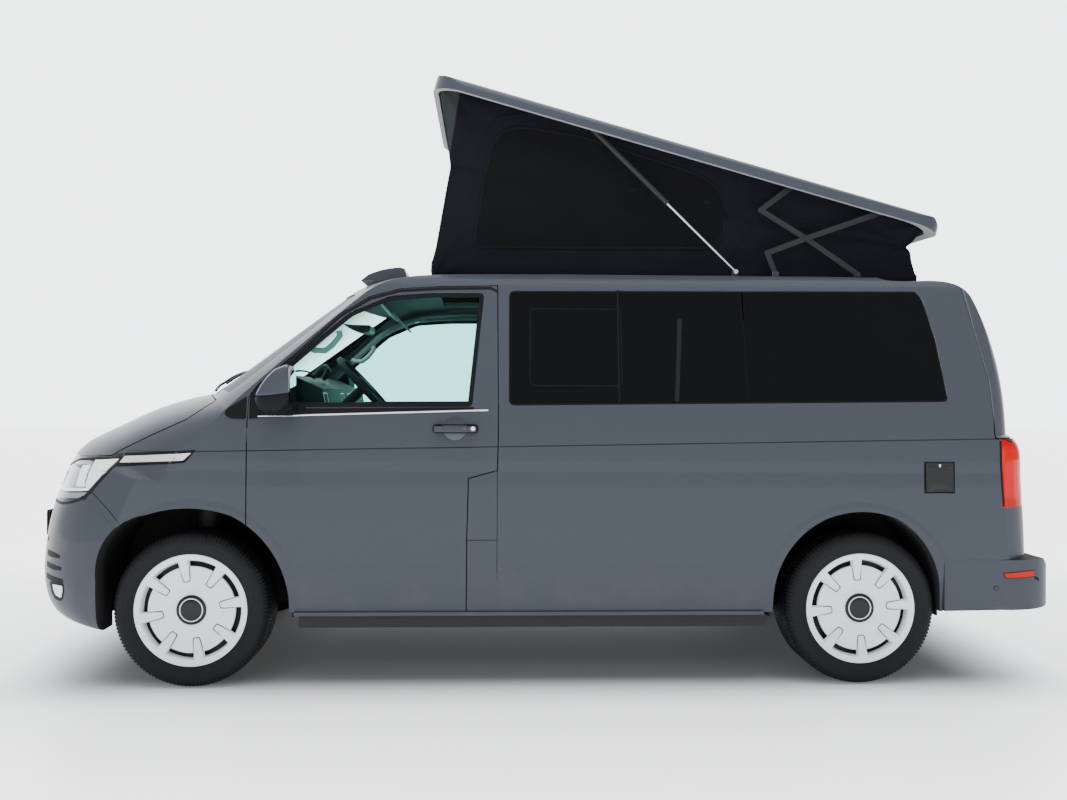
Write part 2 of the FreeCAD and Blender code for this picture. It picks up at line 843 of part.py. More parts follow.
def front_suspension():
    """The subframe with a lower arm of two bars to each wheel, and the knuckles with their struts."""
    plate = block("subframe_plate", ("front_axle - 180", "front_axle + 220"), (-460, 460), (240, 300))
    parts = [plate]
    for hand, side in (("left", -1), ("right", 1)):
        for name, back, foot, end, radius in (("arm", -20, 0, (724, 221), 18), ("link", 150, 10, (700, 226), 15)):
            start = ("front_axle + %d" % back, side * 455, "arm_height")
            ball = ("front_axle + %d" % foot, side * end[0], end[1])
            parts.append(bar_between("%s_%s" % (name, hand), start, ball, radius))
    piece("front_subframe", united("front_subframe", parts))
    for hand, side in (("left", -1), ("right", 1)):
        named = "knuckle_%s" % hand
        rows = (
            ("hub", (700, "axle_height"), ("track_half + shaft_end", "axle_height"), 46),
            ("upright", (722, 250.2), (668, 430), 24),
            ("strut", (668, 425), (610, 782), 27),
            ("spring", (648, 520), (610, 782), 48),
            ("top_stud", (610, 782), (607.5, 793), 12),
        )
        parts = []
        for name, low, high, radius in rows:
            start = ("front_axle", side * worth(low[0]), low[1])
            end = ("front_axle", side * worth(high[0]), high[1])
            parts.append(bar_between("%s_%s" % (named, name), start, end, radius))
        piece(named, united(named, parts))


def rear_suspension():
    """The rear axle: cross tube, trailing arms, springs and the stub axles."""
    back = "front_axle + wheelbase"
    parts = [
        block("pivot_beam", (back + " - 260", back + " - 180"), (-560, 560), (330, 400)),
        bar_between("axle_tube", (back, -672, "axle_height"), (back, 672, "axle_height"), 36),
    ]
    for hand, side in (("left", -1), ("right", 1)):
        end = side * worth("track_half + shaft_end")
        parts.append(
            bar_between("trailing_arm_" + hand, (back + " - 230", side * 500, 365), (back, side * 640, "axle_height"), 34)
        )
        parts.append(bar_between("stub_axle_" + hand, (back, side * 660, "axle_height"), (back, end, "axle_height"), 60))
        parts.append(
            bar_between("spring_" + hand, (back + " - 40", side * 520, "axle_height"), (back + " - 40", side * 520, 400), 52)
        )
    piece("rear_axle", united("rear_axle", parts))


def tank_and_exhaust():
    """The fuel tank under the floor, a box with round edges, and the exhaust on two hangers."""
    tank = doc.addObject("PartDesign::Body", "fuel_tank")
    outline = [(1300, 290), (2150, 290), (2150, "floor_low"), (1300, "floor_low")]
    solid = slab(tank, "tank_shape", "XZ", outline, 760)
    doc.recompute()
    lengthwise = [
        "Edge%d" % (i + 1)
        for i, edge in enumerate(solid.Shape.Edges)
        if abs(edge.BoundBox.YLength) > 700 and edge.BoundBox.ZMax < 300
    ]
    edges = tank.newObject("PartDesign::Fillet", "tank_edges")
    edges.Base = (solid, lengthwise)
    edges.Radius = 40
    tank.Placement.Base = V(size("front_axle"), 0, 0)
    piece("fuel_tank", tank)
    pipe = ("front_axle + 480", 560, 330), ("front_axle + 2400", 560, 330)
    parts = [bar_between("pipe", *pipe, 32)]
    parts.append(bar_between("silencer", ("front_axle + 1500", 560, 342), ("front_axle + 2050", 560, 342), 62))
    for name, x in (("front_hanger", 700), ("rear_hanger", 2360)):
        foot = ("front_axle + %d" % x, 560, 330)
        parts.append(bar_between(name, foot, (foot[0], 560, "floor_low"), 14))
    piece("exhaust", united("exhaust", parts))


# Wheels, one set per corner
def polar(radius, angle):
    turn = math.radians(angle)
    return (radius * math.sin(turn), radius * math.cos(turn))


def wheel(name, x, side):
    """The steel wheel with its cover: a barrel, a disc, arc slots near the rim and wedge fingers between."""
    body = doc.addObject("PartDesign::Body", name)
    back = "rim_set_in - tyre_width / 2"
    ring_of(
        body,
        name + "_rim",
        [
            ("shaft_end + 0.3", 0),
            ("shaft_end + 0.3", 75),
            (88, 75),
            (84, "rim_radius - 14"),
            (back, "rim_radius - 14"),
            (back, "rim_radius - 0.3"),
            (109, "rim_radius - 0.3"),
            (113, "rim_radius - 7"),
            (108, "slot_outer + 3"),
            (101, "slot_outer - 1"),
            (101, 150),
            (103, 75),
            (109, 63),
            (111, 0),
        ],
    )
    step = 360 / size("finger_count")
    open_half = step / 2 - 7
    inner = size("slot_inner")
    outer = size("slot_outer")
    rise = 1 - math.cos(math.radians(open_half))
    first = step / 2 - open_half
    last = step / 2 + open_half
    start = 9.5
    slot = slab(
        body,
        name + "_slot",
        "XZ",
        [
            polar(outer, start + first),
            polar(outer, start + last) + (outer * rise,),
            polar(inner, start + last),
            polar(inner, start + first) + (-inner * rise,),
        ],
        "tyre_width",
        hole=True,
    )
    doc.recompute()
    whole = body.Shape.Volume
    repeated(body, name + "_slots", slot, "finger_count")
    doc.recompute()
    if body.Shape.Volume > whole - 1000:
        raise RuntimeError("the slots of %s cut nothing" % name)
    turn = 0 if side > 0 else 180
    place = V(x, side * size("track_half"), size("axle_height"))
    body.Placement = FreeCAD.Placement(place, FreeCAD.Rotation(V(0, 0, 1), turn))
    piece(name, body)


def tyre(name, x, side):
    """The tyre: a ring with bulged walls and round shoulders."""
    body = doc.addObject("PartDesign::Body", name)
    half = "tyre_width / 2"
    outer = "axle_height"
    rim = "rim_radius"
    ring_of(
        body,
        name + "_ring",
        [
            ("14 - " + half, rim, -19),
            (half + " - 14", rim),
            (half + " - 26", outer + " - 16", -19),
            (half + " - 60", outer, -5),
            ("60 - " + half, outer),
            ("26 - " + half, outer + " - 16", -5),
        ],
    )
    body.Placement.Base = V(x, side * size("track_half"), size("axle_height"))
    piece(name, body)


# Cab and load space
def dashboard():
    """The dash moulding across the cab, with the steering column."""
    body = doc.addObject("PartDesign::Body", "dash_moulding")
    outline = [(60, 820), (430, 860), (470, 1140), (560, 1240), (540, 1330), (400, 1392), (200, 1290), (60, 1236)]
    slab(body, "dash_shape", "XZ", outline, 1480)
    body.Placement.Base = V(size("front_axle"), 0, 0)
    inside = kept_inside("dash_in_cab", body, cab_form)
    column = bar_between("column", column_point(-300), column_point(-26.3), 24)
    piece("dashboard", united("dashboard", [inside, column]))


WHEEL_AXIS = V(0.731, 0, 0.682)


def column_point(along):
    """A point of the steering axis, measured from the wheel's centre."""
    centre = V(at(size("wheel_hub_x")), -size("seat_offset"), size("wheel_hub_z"))
    return tuple(centre + WHEEL_AXIS * along)


def steering_wheel():
    """The steering wheel: a rim, three spokes and a boss."""
    rim = doc.addObject("Part::Torus", "wheel_rim")
    rim.Radius1 = 178
    rim.Radius2 = 15
    boss = doc.addObject("Part::Cylinder", "wheel_boss")
    boss.Radius = 52
    boss.Height = 46
    boss.Placement.Base = V(0, 0, -26)
    parts = [rim, boss]
    for i in range(3):
        spoke = doc.addObject("Part::Box", "wheel_spoke_%d" % (i + 1))
        spoke.Length = 176
        spoke.Width = 34
        spoke.Height = 14
        turn = FreeCAD.Rotation(V(0, 0, 1), 90 + 120 * i)
        spoke.Placement = FreeCAD.Placement(turn.multVec(V(0, -17, -7)), turn)
        parts.append(spoke)
    whole = united("steering_wheel", parts)
    whole.Placement = FreeCAD.Placement(V(*column_point(0)), FreeCAD.Rotation(V(0, 0, 1), WHEEL_AXIS))
    piece("steering_wheel", whole)


def seat(name, x, y, width, points):
    """A padded part of a seat: a side outline carried across the seat's width."""
    body = doc.addObject("PartDesign::Body", name)
    slab(body, name + "_shape", "XZ", points, width)
    body.Placement.Base = V(at(x), y, 0)
    return body


def seats():
    """Two front seats with head restraints on their bases, and a bench across the rear."""
    both_seats = []
    both_bases = []
    for hand, side in (("left", -1), ("right", 1)):
        y = side * size("seat_offset")
        cushion = [
            (24, 880),
            (446, 880),
            (470, 904, -7),
            (470, "seat_height - 24"),
            (446, "seat_height", -7),
            (30, "seat_height"),
            (0, "seat_height - 30", -9),
            (0, 904),
        ]
        back = [(430, 1000), (560, 1000), (662, 1570), (640, 1604, -12), (590, 1600, -10), (556, 1570, -8)]
        rest = [(575, 1625), (655, 1615), (676, 1740), (650, 1768, -10), (612, 1766), (592, 1745, -8)]
        parts = [
            seat("cushion_" + hand, 840, y, "seat_width", cushion),
            seat("backrest_" + hand, 840, y, "seat_width", back),
            seat("head_rest_" + hand, 840, y, 260, rest),
        ]
        for place, offset in (("outer", -60), ("inner", 60)):
            low = (at(840 + 612), y + offset, 1590)
            high = (at(840 + 624), y + offset, 1640)
            parts.append(bar_between("rest_post_%s_%s" % (place, hand), low, high, 7))
        both_seats.append(united("seat_" + hand, parts))
        across = (y - size("seat_width") / 2 + 40, y + size("seat_width") / 2 - 40)
        both_bases.append(block("base_" + hand, ("front_axle + 900", "front_axle + 1280"), across, ("floor_top", 880)))
    for name, solids in (("front_seats", both_seats), ("seat_bases", both_bases)):
        whole = doc.addObject("Part::Compound", name)
        whole.Links = solids
        piece(name, whole)
    box_part = [(0, "floor_top"), (540, "floor_top"), (540, "seat_height"), (24, "seat_height"), (0, "seat_height - 24", -7)]
    back_part = [(480, "seat_height - 5"), (600, "seat_height - 5"), (712, 1556), (690, 1580, -7), (636, 1580), (610, 1560, -7)]
    parts = [seat("bench_box", 2480, 0, 1180, box_part), seat("bench_back", 2480, 0, 1180, back_part)]
    piece("rear_bench", united("rear_bench", parts))


# Raised roof
tilt = math.radians(size("roof_tilt"))
shell_place = FreeCAD.Placement(
    V(at(size("shell_front")), 0, size("shell_front_height")), FreeCAD.Rotation(V(0, 1, 0), size("roof_tilt"))
)


def on_roof(x, z):
    """A point of the raised roof, from its place along and above the shell's lower edge."""
    return shell_place.multVec(V(x, 0, z))


# Pivots of the scissor links and struts: F and D on the shell, A, B and C between bars, E, G and R on the
# roof panel, T the strut's upper end.
LINK = {
    "F": on_roof(1798.3, 26.9),
    "D": on_roof(2238.4, 15.2),
    "A": V(at(2610.3), 0, 2197.6),
    "B": V(at(2832.2), 0, 2063.8),
    "C": V(at(2641.2), 0, 1991.7),
    "E": V(at(3085.6), 0, 1893),
    "G": V(at(2681.3), 0, 1893),
    "T": on_roof(775, 24),
    "R": V(at(2490), 0, 1900),
}
SHELL_PIVOTS = {"F": (1798.3, 26.9), "D": (2238.4, 15.2), "T": (775, 24)}
layer = size("bar_layer")
thick = size("bar_thick")
play = size("layer_gap")
pin = size("pin_radius")
lower_y = -layer - thick
cross_y = lower_y - play - thick
bottom_y = cross_y - play - thick
top_y = -layer + play


def pin_at(name, pivot, y0, y1, radius="pin_radius"):
    """A pin along Y at a pivot on the left side."""
    place = LINK[pivot]
    return bar_between(name, (place.x, y0, place.z), (place.x, y1, place.z), radius)


def flat_bar(name, pivots, y, holes):
    """A flat bar through the named pivots, round at its ends, bored where it turns on a pin."""
    parts = []
    for first, last in zip(pivots, pivots[1:]):
        along = LINK[last] - LINK[first]
        run = doc.addObject("Part::Box", "%s_run_%s%s" % (name, first, last))
        run.Length = along.Length
        run.setExpression("Width", bound("bar_thick"))
        run.setExpression("Height", bound("2 * bar_half"))
        turn = FreeCAD.Rotation(V(0, 1, 0), -math.degrees(math.atan2(along.z, along.x)))
        low = LINK[first] + V(0, y, 0) + turn.multVec(V(0, 0, -size("bar_half")))
        run.Placement = FreeCAD.Placement(low, turn)
        parts.append(run)
    for pivot in pivots:
        parts.append(pin_at("%s_end_%s" % (name, pivot), pivot, y, y + thick, "bar_half"))
    whole = united(name + "_blank", parts)
    bores = [pin_at("%s_bore_%s" % (name, p), p, y - 2, y + thick + 2, "pin_radius + pin_play") for p in holes]
    if len(bores) > 1:
        bores = [united(name + "_bores", bores)]
    return cut_away(name + "_left", whole, bores[0])


def scissor_links():
    """Both scissor sets: lower arm, cross arm, and a link from each to the shell or the roof panel."""
    arm = flat_bar("lower_arm", "ABE", lower_y, "E")
    rivet = pin_at("rivet_B", "B", cross_y - 3, -layer)
    head = pin_at("rivet_head_B", "B", cross_y - 3, cross_y - play, "pin_radius + 4")
    piece("lower_arms", pair("lower_arms", united("lower_arm_with_rivet", [arm, rivet, head])))
    piece("cross_arms", pair("cross_arms", flat_bar("cross_arm", "CBD", cross_y, "BD")))
    piece("top_links", pair("top_links", flat_bar("top_link", "FA", top_y, "F")))
    piece("bottom_links", pair("bottom_links", flat_bar("bottom_link", "CG", bottom_y, "G")))


def shell_bracket(pivot, y0, y1, pin0, pin1):
    """A plate hanging from the shell, with the pin that a bar or strut turns on."""
    x, z = SHELL_PIVOTS[pivot]
    plate = doc.addObject("Part::Box", "shell_plate_" + pivot)
    plate.Length = 28
    plate.Width = y1 - y0
    plate.Height = 66 - z
    plate.Placement = shell_place.multiply(FreeCAD.Placement(V(x - 14, y0, z - 10), FreeCAD.Rotation()))
    return [plate, pin_at("shell_pin_" + pivot, pivot, pin0, pin1)]


def shell_plan(name, wall, height):
    """The shell's outline from above, moved in by a wall, as a block of the given height."""
    body = doc.addObject("PartDesign::Body", name + "_form")
    half = "(shell_half - %s)" % wall
    back = "(shell_length - 2 * %s)" % wall
    front = "(6 + %s)" % wall
    outline = [
        (150, "-" + half, -42),
        (back + " - 160", "10 - " + half),
        (back, "160 - " + half, -36),
        (back, half + " - 160"),
        (back + " - 160", half + " - 10", -36),
        (150, half),
        (front, half + " - 170", -42),
        (front, "170 - " + half, -6),
    ]
    slab(body, name + "_shape", "XY", outline, height, middle=False)
    return body


def roof_shell():
    """The pop-up roof: a shallow moulded shell with rounded edges, hollow below, with its brackets."""
    length = "shell_length"
    half = "shell_half"
    sides = doc.addObject("PartDesign::Body", "shell_side_form")
    slab(
        sides,
        "shell_side_shape",
        "XZ",
        [
            (0, 0),
            (length + " - 6", 0),
            (length, 28),
            (length + " - 212", 92, -14),
            (1900, "shell_top - 2"),
            (600, "shell_top"),
            (90, "shell_top - 4"),
            (0, 34, -22),
        ],
        "2 * shell_half",
    )
    across = doc.addObject("PartDesign::Body", "shell_cross_form")
    slab(
        across,
        "shell_cross_shape",
        "YZ",
        [
            ("-shell_half", -10),
            (half, -10, 23),
            (half, 28),
            (half + " - 50", "shell_side", -9),
            ("50 - shell_half", "shell_side", "shell_side - shell_top"),
            ("-shell_half", 28, -9),
        ],
        "shell_length + 20",
        middle=False,
    )
    plan = shell_plan("shell_plan", 0, 200)
    hollow = shell_plan("shell_hollow", "shell_wall", 44)
    form = kept_inside("shell_outer", kept_inside("shell_sides", sides, across), plan)
    relief = doc.addObject("Part::Box", "link_relief")
    relief.Length = 680
    relief.Width = 32
    relief.Height = 60
    relief.Placement = FreeCAD.Placement(V(1600, -654, -9), FreeCAD.Rotation())
    hollows = united("shell_hollows", [hollow, relief, mirror_of("link_relief_right", relief)])
    form = cut_away("shell_form", form, hollows)
    form.Placement = shell_place
    parts = [form]
    brackets = []
    brackets += shell_bracket("F", top_y + thick + play, top_y + thick + 6, top_y - 0.2, top_y + thick + 6)
    brackets += shell_bracket("D", cross_y - 7, cross_y - play, cross_y - 7, cross_y + thick + 0.2)
    brackets += shell_bracket("T", -layer + 8.3, -layer + 14, -layer - 24, -layer + 14)
    parts += brackets + [mirror_of(item.Name + "_right", item) for item in brackets]
    piece("roof_shell", united("roof_shell", parts))


ROOF_PANEL = [
    (743, 1640),
    (743, 2000),
    (3500, 2000),
    (3500, 1842),
    (3506, 1812),
    (1382, 1812),
    (1200, 1790),
    (900, 1700),
]


def roof_panel():
    """The van's roof with the hatch under the tent, the links' ground brackets and the tailgate's hinge pads."""
    hatch = room(
        size("hatch_front"), size("hatch_rear"), -size("hatch_half"), size("hatch_half"), 1700, 2000
    )
    panel = less(skin_shell.common(region(ROOF_PANEL)), hatch, door_cut_left, door_cut_right)
    parts = [panel]
    rows = (
        ("E", 15, -layer + play, -layer + 8, 1902, lower_y - 0.2, -layer + 8),
        ("G", 15, bottom_y - 7, bottom_y - play, 1902, bottom_y - 7, bottom_y + thick + 0.2),
        ("R", 12, -layer + 8.3, -layer + 14, 1910, -layer - 1.7, -layer + 14),
    )
    for pivot, half, y0, y1, top, pin0, pin1 in rows:
        place = LINK[pivot]
        plate = Part.makeBox(2 * half, y1 - y0, top - 1845, V(place.x - half, y0, 1845))
        stub = Part.makeCylinder(pin, pin1 - pin0, V(place.x, pin0, place.z), V(0, 1, 0))
        bracket = fused([plate, stub])
        parts += [bracket, mirrored(bracket)]
    parts += [room(3480, 3504.7, y - 30, y + 30, 1848, 1862) for y in (-500, 500)]
    piece("roof_panel", fused(parts))


def roof_lip():
    """The wind lip on the roof ahead of the raised shell."""
    outline = [(700, 1846), (734, 1874), ("arc", (810, 1900)), (884, 1910), (906, 1906), (914, 1878), (914, 1850)]
    piece("roof_lip", region(outline, -600, 600).cut(hull(0)))


def gas_struts():
    """Both gas struts: a tube with its eye on the shell, and a rod with its eye on the roof panel."""
    y = -layer - 8
    along = (LINK["R"] - LINK["T"]).normalize()
    start = LINK["T"] + V(0, y, 0)
    end = start + along * (LINK["R"] - LINK["T"]).Length
    tube_end = size("strut_tube") + 14

    def on_strut(distance):
        return tuple(start + along * distance)

    eye = pin_at("tube_eye", "T", y + 1, y + 16, 12)
    tube = bar_between("tube", on_strut(14), on_strut(tube_end), "strut_radius")
    blank = united("tube_with_eye", [eye, tube])
    bore = bar_between("tube_bore", on_strut(30), on_strut(tube_end + 30), "rod_radius + pin_play")
    hole = pin_at("tube_eye_bore", "T", -layer - 30, -layer + 20, "pin_radius + pin_play")
    piece("strut_tubes", pair("strut_tubes", cut_away("tube_left", blank, united("tube_bores", [bore, hole]))))
    rod = bar_between("rod", on_strut(500), tuple(end - along * 8), "rod_radius")
    foot = pin_at("rod_eye", "R", y - 6, y + 6, 11)
    piece("strut_rods", pair("strut_rods", united("rod_left", [rod, foot], tidy=False)))


def roof_canvas():
    """The tent's cloth wall, closed all round and open above and below it, pinched at its fold."""
    low = size("canvas_foot")
    top_front = on_roof(72, 43.5)
    top_rear = on_roof(2474, 43.5)
    outline = [
        (size("hatch_front"), low),
        (size("hatch_front"), 1940),
        (1121, 2401),
        (top_front.x - at(0), top_front.z),
        (top_rear.x - at(0), top_rear.z),
        (3354, 2034),
        (size("hatch_rear"), 1900),
        (size("hatch_rear"), low),
    ]
    half = size("hatch_half")
    wall = size("canvas_wall")
    wire = side_wire(outline)
    tent = carried(wire, V(0, -half, 0), V(0, 2 * half, 0))
    inside = carried(wire.makeOffset2D(-wall, 2), V(0, wall - half, 0), V(0, 2 * (half - wall), 0))
    foot = room(
        size("hatch_front") + wall, size("hatch_rear") - wall, wall - half, half - wall, low - 50, 1900
    )
    piece("roof_canvas", less(tent, inside, foot))


def hookup_flap():
    """The flap over the mains hook-up in the left side, with its hinge pin."""
    x0, x1, z0, z1 = FLAP
    lid = hull(0).common(room(x0, x1, -1000, -936, z0, z1))
    start = V(at(x0 - gap + 0.3), -942, z1 - 5)
    hinge = Part.makeCylinder(2, x1 - x0 + 2 * gap - 0.6, start, V(1, 0, 0))
    piece("hookup_flap", fused([lid, hinge]))


# The van, from the outside in
bonnet_panel()
headlamp_blocks()
grille_slats()
bumper = front_bumper_cover()
front_wing_pair()
screen_surround()
plain_side = side_panels()
side_glazing()
tail_panels()
rear_cover = rear_bumper_cover(plain_side)
front_doors()
floor_and_rails()
wheel_arch_liners(bumper, rear_cover)
engine()
front_suspension()
rear_suspension()
tank_and_exhaust()
for end, x in (("front", at(0)), ("rear", rear(0))):
    for hand, side in (("left", -1), ("right", 1)):
        tyre("%s_tyre_%s" % (end, hand), x, side)
        wheel("%s_wheel_%s" % (end, hand), x, side)
dashboard()
steering_wheel()
seats()
scissor_links()
roof_shell()
roof_panel()
roof_lip()
gas_struts()
roof_canvas()
hookup_flap()

# Checks and files
doc.recompute()
for item in doc.Objects:
    bad = [state for state in item.State if state in ("Invalid", "Error")]
    if bad:
        raise RuntimeError("%s is %s" % (item.Label, bad))
for name, item in pieces.items():
    if item.Shape.isNull() or not item.Shape.isValid() or not item.Shape.Solids:
        raise RuntimeError("%s has no valid shape" % name)
os.makedirs("parts", exist_ok=True)
for name, item in pieces.items():
    item.Shape.exportStep("parts/%s.step" % name)
print(len(pieces), "pieces")
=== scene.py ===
import math
import bmesh
import bpy
from mathutils import Matrix, Vector, noise
from mathutils.bvhtree import BVHTree


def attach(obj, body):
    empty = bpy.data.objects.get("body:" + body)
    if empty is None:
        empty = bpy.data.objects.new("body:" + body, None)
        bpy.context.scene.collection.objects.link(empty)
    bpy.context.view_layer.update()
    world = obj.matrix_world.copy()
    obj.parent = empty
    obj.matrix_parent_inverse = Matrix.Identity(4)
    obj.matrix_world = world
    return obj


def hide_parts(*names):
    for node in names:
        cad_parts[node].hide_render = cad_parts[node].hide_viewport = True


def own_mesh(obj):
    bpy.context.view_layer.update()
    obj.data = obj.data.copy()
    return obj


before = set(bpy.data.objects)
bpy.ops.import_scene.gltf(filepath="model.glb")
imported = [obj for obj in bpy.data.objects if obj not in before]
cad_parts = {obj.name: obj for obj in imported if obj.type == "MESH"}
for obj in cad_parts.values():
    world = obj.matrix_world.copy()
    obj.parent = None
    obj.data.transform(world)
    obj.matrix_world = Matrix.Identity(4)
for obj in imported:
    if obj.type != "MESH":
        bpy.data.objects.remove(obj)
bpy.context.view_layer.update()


# Studio
# A pale floor under soft light from above that glows as painted light, more in front of and far behind the van,
# and turns dark grey under the van as a painted shadow; and the camera at the photograph's own angle, square to
# the van's left side. Nothing here belongs to the van.
FRONT = -1.544  # the front axle's place along the van
REAR = 1.456  # the rear axle's


class Value:
    """One output of a finish's nodes; sums and products of values add Math nodes."""

    def __init__(self, finish, socket):
        self.finish = finish
        self.socket = socket

    def math(self, kind, *rest):
        return self.finish.node("ShaderNodeMath", {"operation": kind}, dict(enumerate((self,) + rest)))

    def __add__(self, other):
        return self.math("ADD", other)

    def __sub__(self, other):
        return self.math("SUBTRACT", other)

    def __rsub__(self, other):
        return self.finish.node("ShaderNodeMath", {"operation": "SUBTRACT"}, {0: other, 1: self})

    def __mul__(self, other):
        return self.math("MULTIPLY", other)

    def __truediv__(self, other):
        return self.math("DIVIDE", other)

    def __pow__(self, other):
        return self.math("POWER", other)

    __radd__ = __add__
    __rmul__ = __mul__

    def clamped(self):
        return self.finish.node("ShaderNodeClamp", {}, {"Value": self})

    def ramp(self, low, high):
        """0 below low, 1 above high, smooth between."""
        return self.finish.node(
            "ShaderNodeMapRange",
            {"interpolation_type": "SMOOTHSTEP"},
            {"Value": self, "From Min": low, "From Max": high},
        )


class Finish:
    """A material as it is mixed: its nodes, then what they feed."""

    def __init__(self, name):
        self.material = bpy.data.materials.new(name)
        self.material.use_nodes = True
        self.tree = self.material.node_tree
        self.tree.nodes.clear()
        self.out = self.tree.nodes.new("ShaderNodeOutputMaterial")
        self.place = self.node("ShaderNodeTexCoord", {}, {}, "Object")

    def node(self, kind, settings, values, output=0):
        made = self.tree.nodes.new(kind)
        for key, setting in settings.items():
            setattr(made, key, setting)
        for key, value in values.items():
            if isinstance(value, Value):
                self.tree.links.new(value.socket, made.inputs[key])
            elif isinstance(value, tuple) and len(value) == 3 and made.inputs[key].type == "RGBA":
                made.inputs[key].default_value = value + (1,)
            else:
                made.inputs[key].default_value = value
        return Value(self, made.outputs[output])

    def noise(self, scale, detail=3, stretch=(1, 1, 1), rough=0.5):
        moved = self.node("ShaderNodeVectorMath", {"operation": "MULTIPLY"}, {0: self.place, 1: stretch})
        return self.node(
            "ShaderNodeTexNoise", {}, {"Vector": moved, "Scale": scale, "Detail": detail, "Roughness": rough},
        )

    def axis(self, index):
        return self.node("ShaderNodeSeparateXYZ", {}, {0: self.place}, index)

    def mix(self, share, first, second):
        return self.node("ShaderNodeMix", {"data_type": "RGBA"}, {0: share, 6: first, 7: second}, 2)

    def bump(self, height, depth, normal=None):
        """Height 0 to 1 as a relief of the depth in metres."""
        values = {"Height": height, "Distance": depth, "Strength": 1.0}
        if normal is not None:
            values["Normal"] = normal
        return self.node("ShaderNodeBump", {}, values)

    def surface(self, values):
        """A Principled surface from values named as its sockets with _ for a space."""
        named = {key.replace("_", " "): value for key, value in values.items()}
        return self.node("ShaderNodeBsdfPrincipled", {}, named)

    def shown(self, look):
        self.tree.links.new(look.socket, self.out.inputs[0])
        return self.material

    def coat(self, **values):
        """The material with one surface."""
        return self.shown(self.surface(values))

    def pane(self, tint, gloss_share, **values):
        """Glass: a gloss surface mixed over a tinted clear one."""
        gloss = self.surface(values)
        clear = self.node("ShaderNodeBsdfTransparent", {}, {"Color": tint})
        return self.shown(self.node("ShaderNodeMixShader", {}, {0: gloss_share, 1: clear, 2: gloss}))


def lofted(rows, ring=False, around=False):
    """Points and faces between rows of points. With ring the last row joins the first; with around each
    row's ends join."""
    deep = len(rows)
    wide = len(rows[0])
    faces = []
    for i in range(deep if ring else deep - 1):
        j = (i + 1) % deep
        for k in range(wide if around else wide - 1):
            m = (k + 1) % wide
            faces.append((i * wide + k, i * wide + m, j * wide + m, j * wide + k))
    return [point for row in rows for point in row], faces


def placed(name, data):
    """An object in the scene that shows the data."""
    made = bpy.data.objects.new(name, data)
    bpy.context.scene.collection.objects.link(made)
    return made


def solid(name, points, faces, material, smooth=True):
    """A mesh from its points and faces."""
    mesh = bpy.data.meshes.new(name)
    mesh.from_pydata([tuple(p) for p in points], [], faces)
    mesh.validate()
    mesh.update()
    made = placed(name, mesh)
    mesh.materials.append(material)
    for face in mesh.polygons:
        face.use_smooth = smooth
    return made


studio_floor = Finish("studio_floor")
cloudy = studio_floor.noise(0.6, 2)
# Masks for painted light on the floor: a stronger glow near the camera and far behind the van, and a painted
# shadow under the van.
near = 1 - studio_floor.axis(1).ramp(-2.5, -1.15)
beyond = studio_floor.axis(1).ramp(1.2, 2.6)
beside = studio_floor.axis(1).math("ABSOLUTE").ramp(0.75, 1.35)
past_ends = studio_floor.axis(0).math("ABSOLUTE").ramp(1.9, 2.6)
shadow_under_van = (1 - beside) * (1 - past_ends)
# Under the van the floor's colour is dark grey and its glow nearly off, a painted shadow; elsewhere it glows as
# painted light.
floor = solid(
    "floor",
    [(-40, -40, -0.002), (40, -40, -0.002), (40, 40, -0.002), (-40, 40, -0.002)],
    [(0, 1, 2, 3)],
    studio_floor.coat(
        Base_Color=studio_floor.mix(
            shadow_under_van, studio_floor.mix(cloudy, (0.86, 0.87, 0.88), (0.90, 0.91, 0.92)), (0.30, 0.30, 0.31),
        ),
        Roughness=0.25 + 0.10 * studio_floor.noise(3, 3) + 0.55 * shadow_under_van,
        Specular_IOR_Level=0.12,
        Emission_Color=studio_floor.mix(
            shadow_under_van,
            studio_floor.mix((near + beyond).clamped(), (0.74, 0.75, 0.77), (1.35, 1.36, 1.38)),
            (0.03, 0.03, 0.03),
        ),
        Emission_Strength=1.15,
    ),
    False,
)

world = bpy.data.worlds.new("studio")
bpy.context.scene.world = world
world.use_nodes = True
sky = world.node_tree
across = sky.nodes.new("ShaderNodeSeparateXYZ")
sky.links.new(sky.nodes.new("ShaderNodeTexCoord").outputs["Generated"], across.inputs[0])
product = sky.nodes.new("ShaderNodeMath")
product.operation = "MULTIPLY"
for socket, (axis, low_end, high_end, low_light, high_light) in enumerate(
    ((1, 0.35, 0.84, 0.95, 4.2), (0, 0.60, 0.95, 1.0, 0.45))
):
    fade = sky.nodes.new("ShaderNodeMapRange")
    fade.interpolation_type = "SMOOTHSTEP"
    for key, value in (
        ("From Min", low_end), ("From Max", high_end), ("To Min", low_light), ("To Max", high_light),
    ):
        fade.inputs[key].default_value = value
    sky.links.new(across.outputs[axis], fade.inputs["Value"])
    sky.links.new(fade.outputs[0], product.inputs[socket])
sky.nodes["Background"].inputs[0].default_value = (0.925, 0.955, 1.0, 1)
sky.links.new(product.outputs[0], sky.nodes["Background"].inputs[1])


def lamp(name, place, aim, size, power, glossy=True):
    """A soft rectangular light that points from its place at the aim."""
    light = bpy.data.lights.new(name, "AREA")
    light.shape = "RECTANGLE"
    light.size, light.size_y = size
    light.energy = power
    made = placed(name, light)
    made.location = place
    made.visible_glossy = glossy
    made.rotation_euler = (Vector(aim) - Vector(place)).to_track_quat("-Z", "Y").to_euler()


lamp("soft_top", (0, -1.0, 7.0), (0, 0, 0), (10, 6), 330)
lamp("soft_side", (-3, -9, 5), (0, 0, 0.8), (6, 0.5), 90, False)
lamp("strip_front", (-1.2, -2.6, 6.2), (-0.6, 0, 1.2), (0.25, 3.0), 60, False)
lamp("strip_rear", (1.4, -2.6, 6.2), (1.0, 0, 1.2), (0.25, 3.0), 60, False)

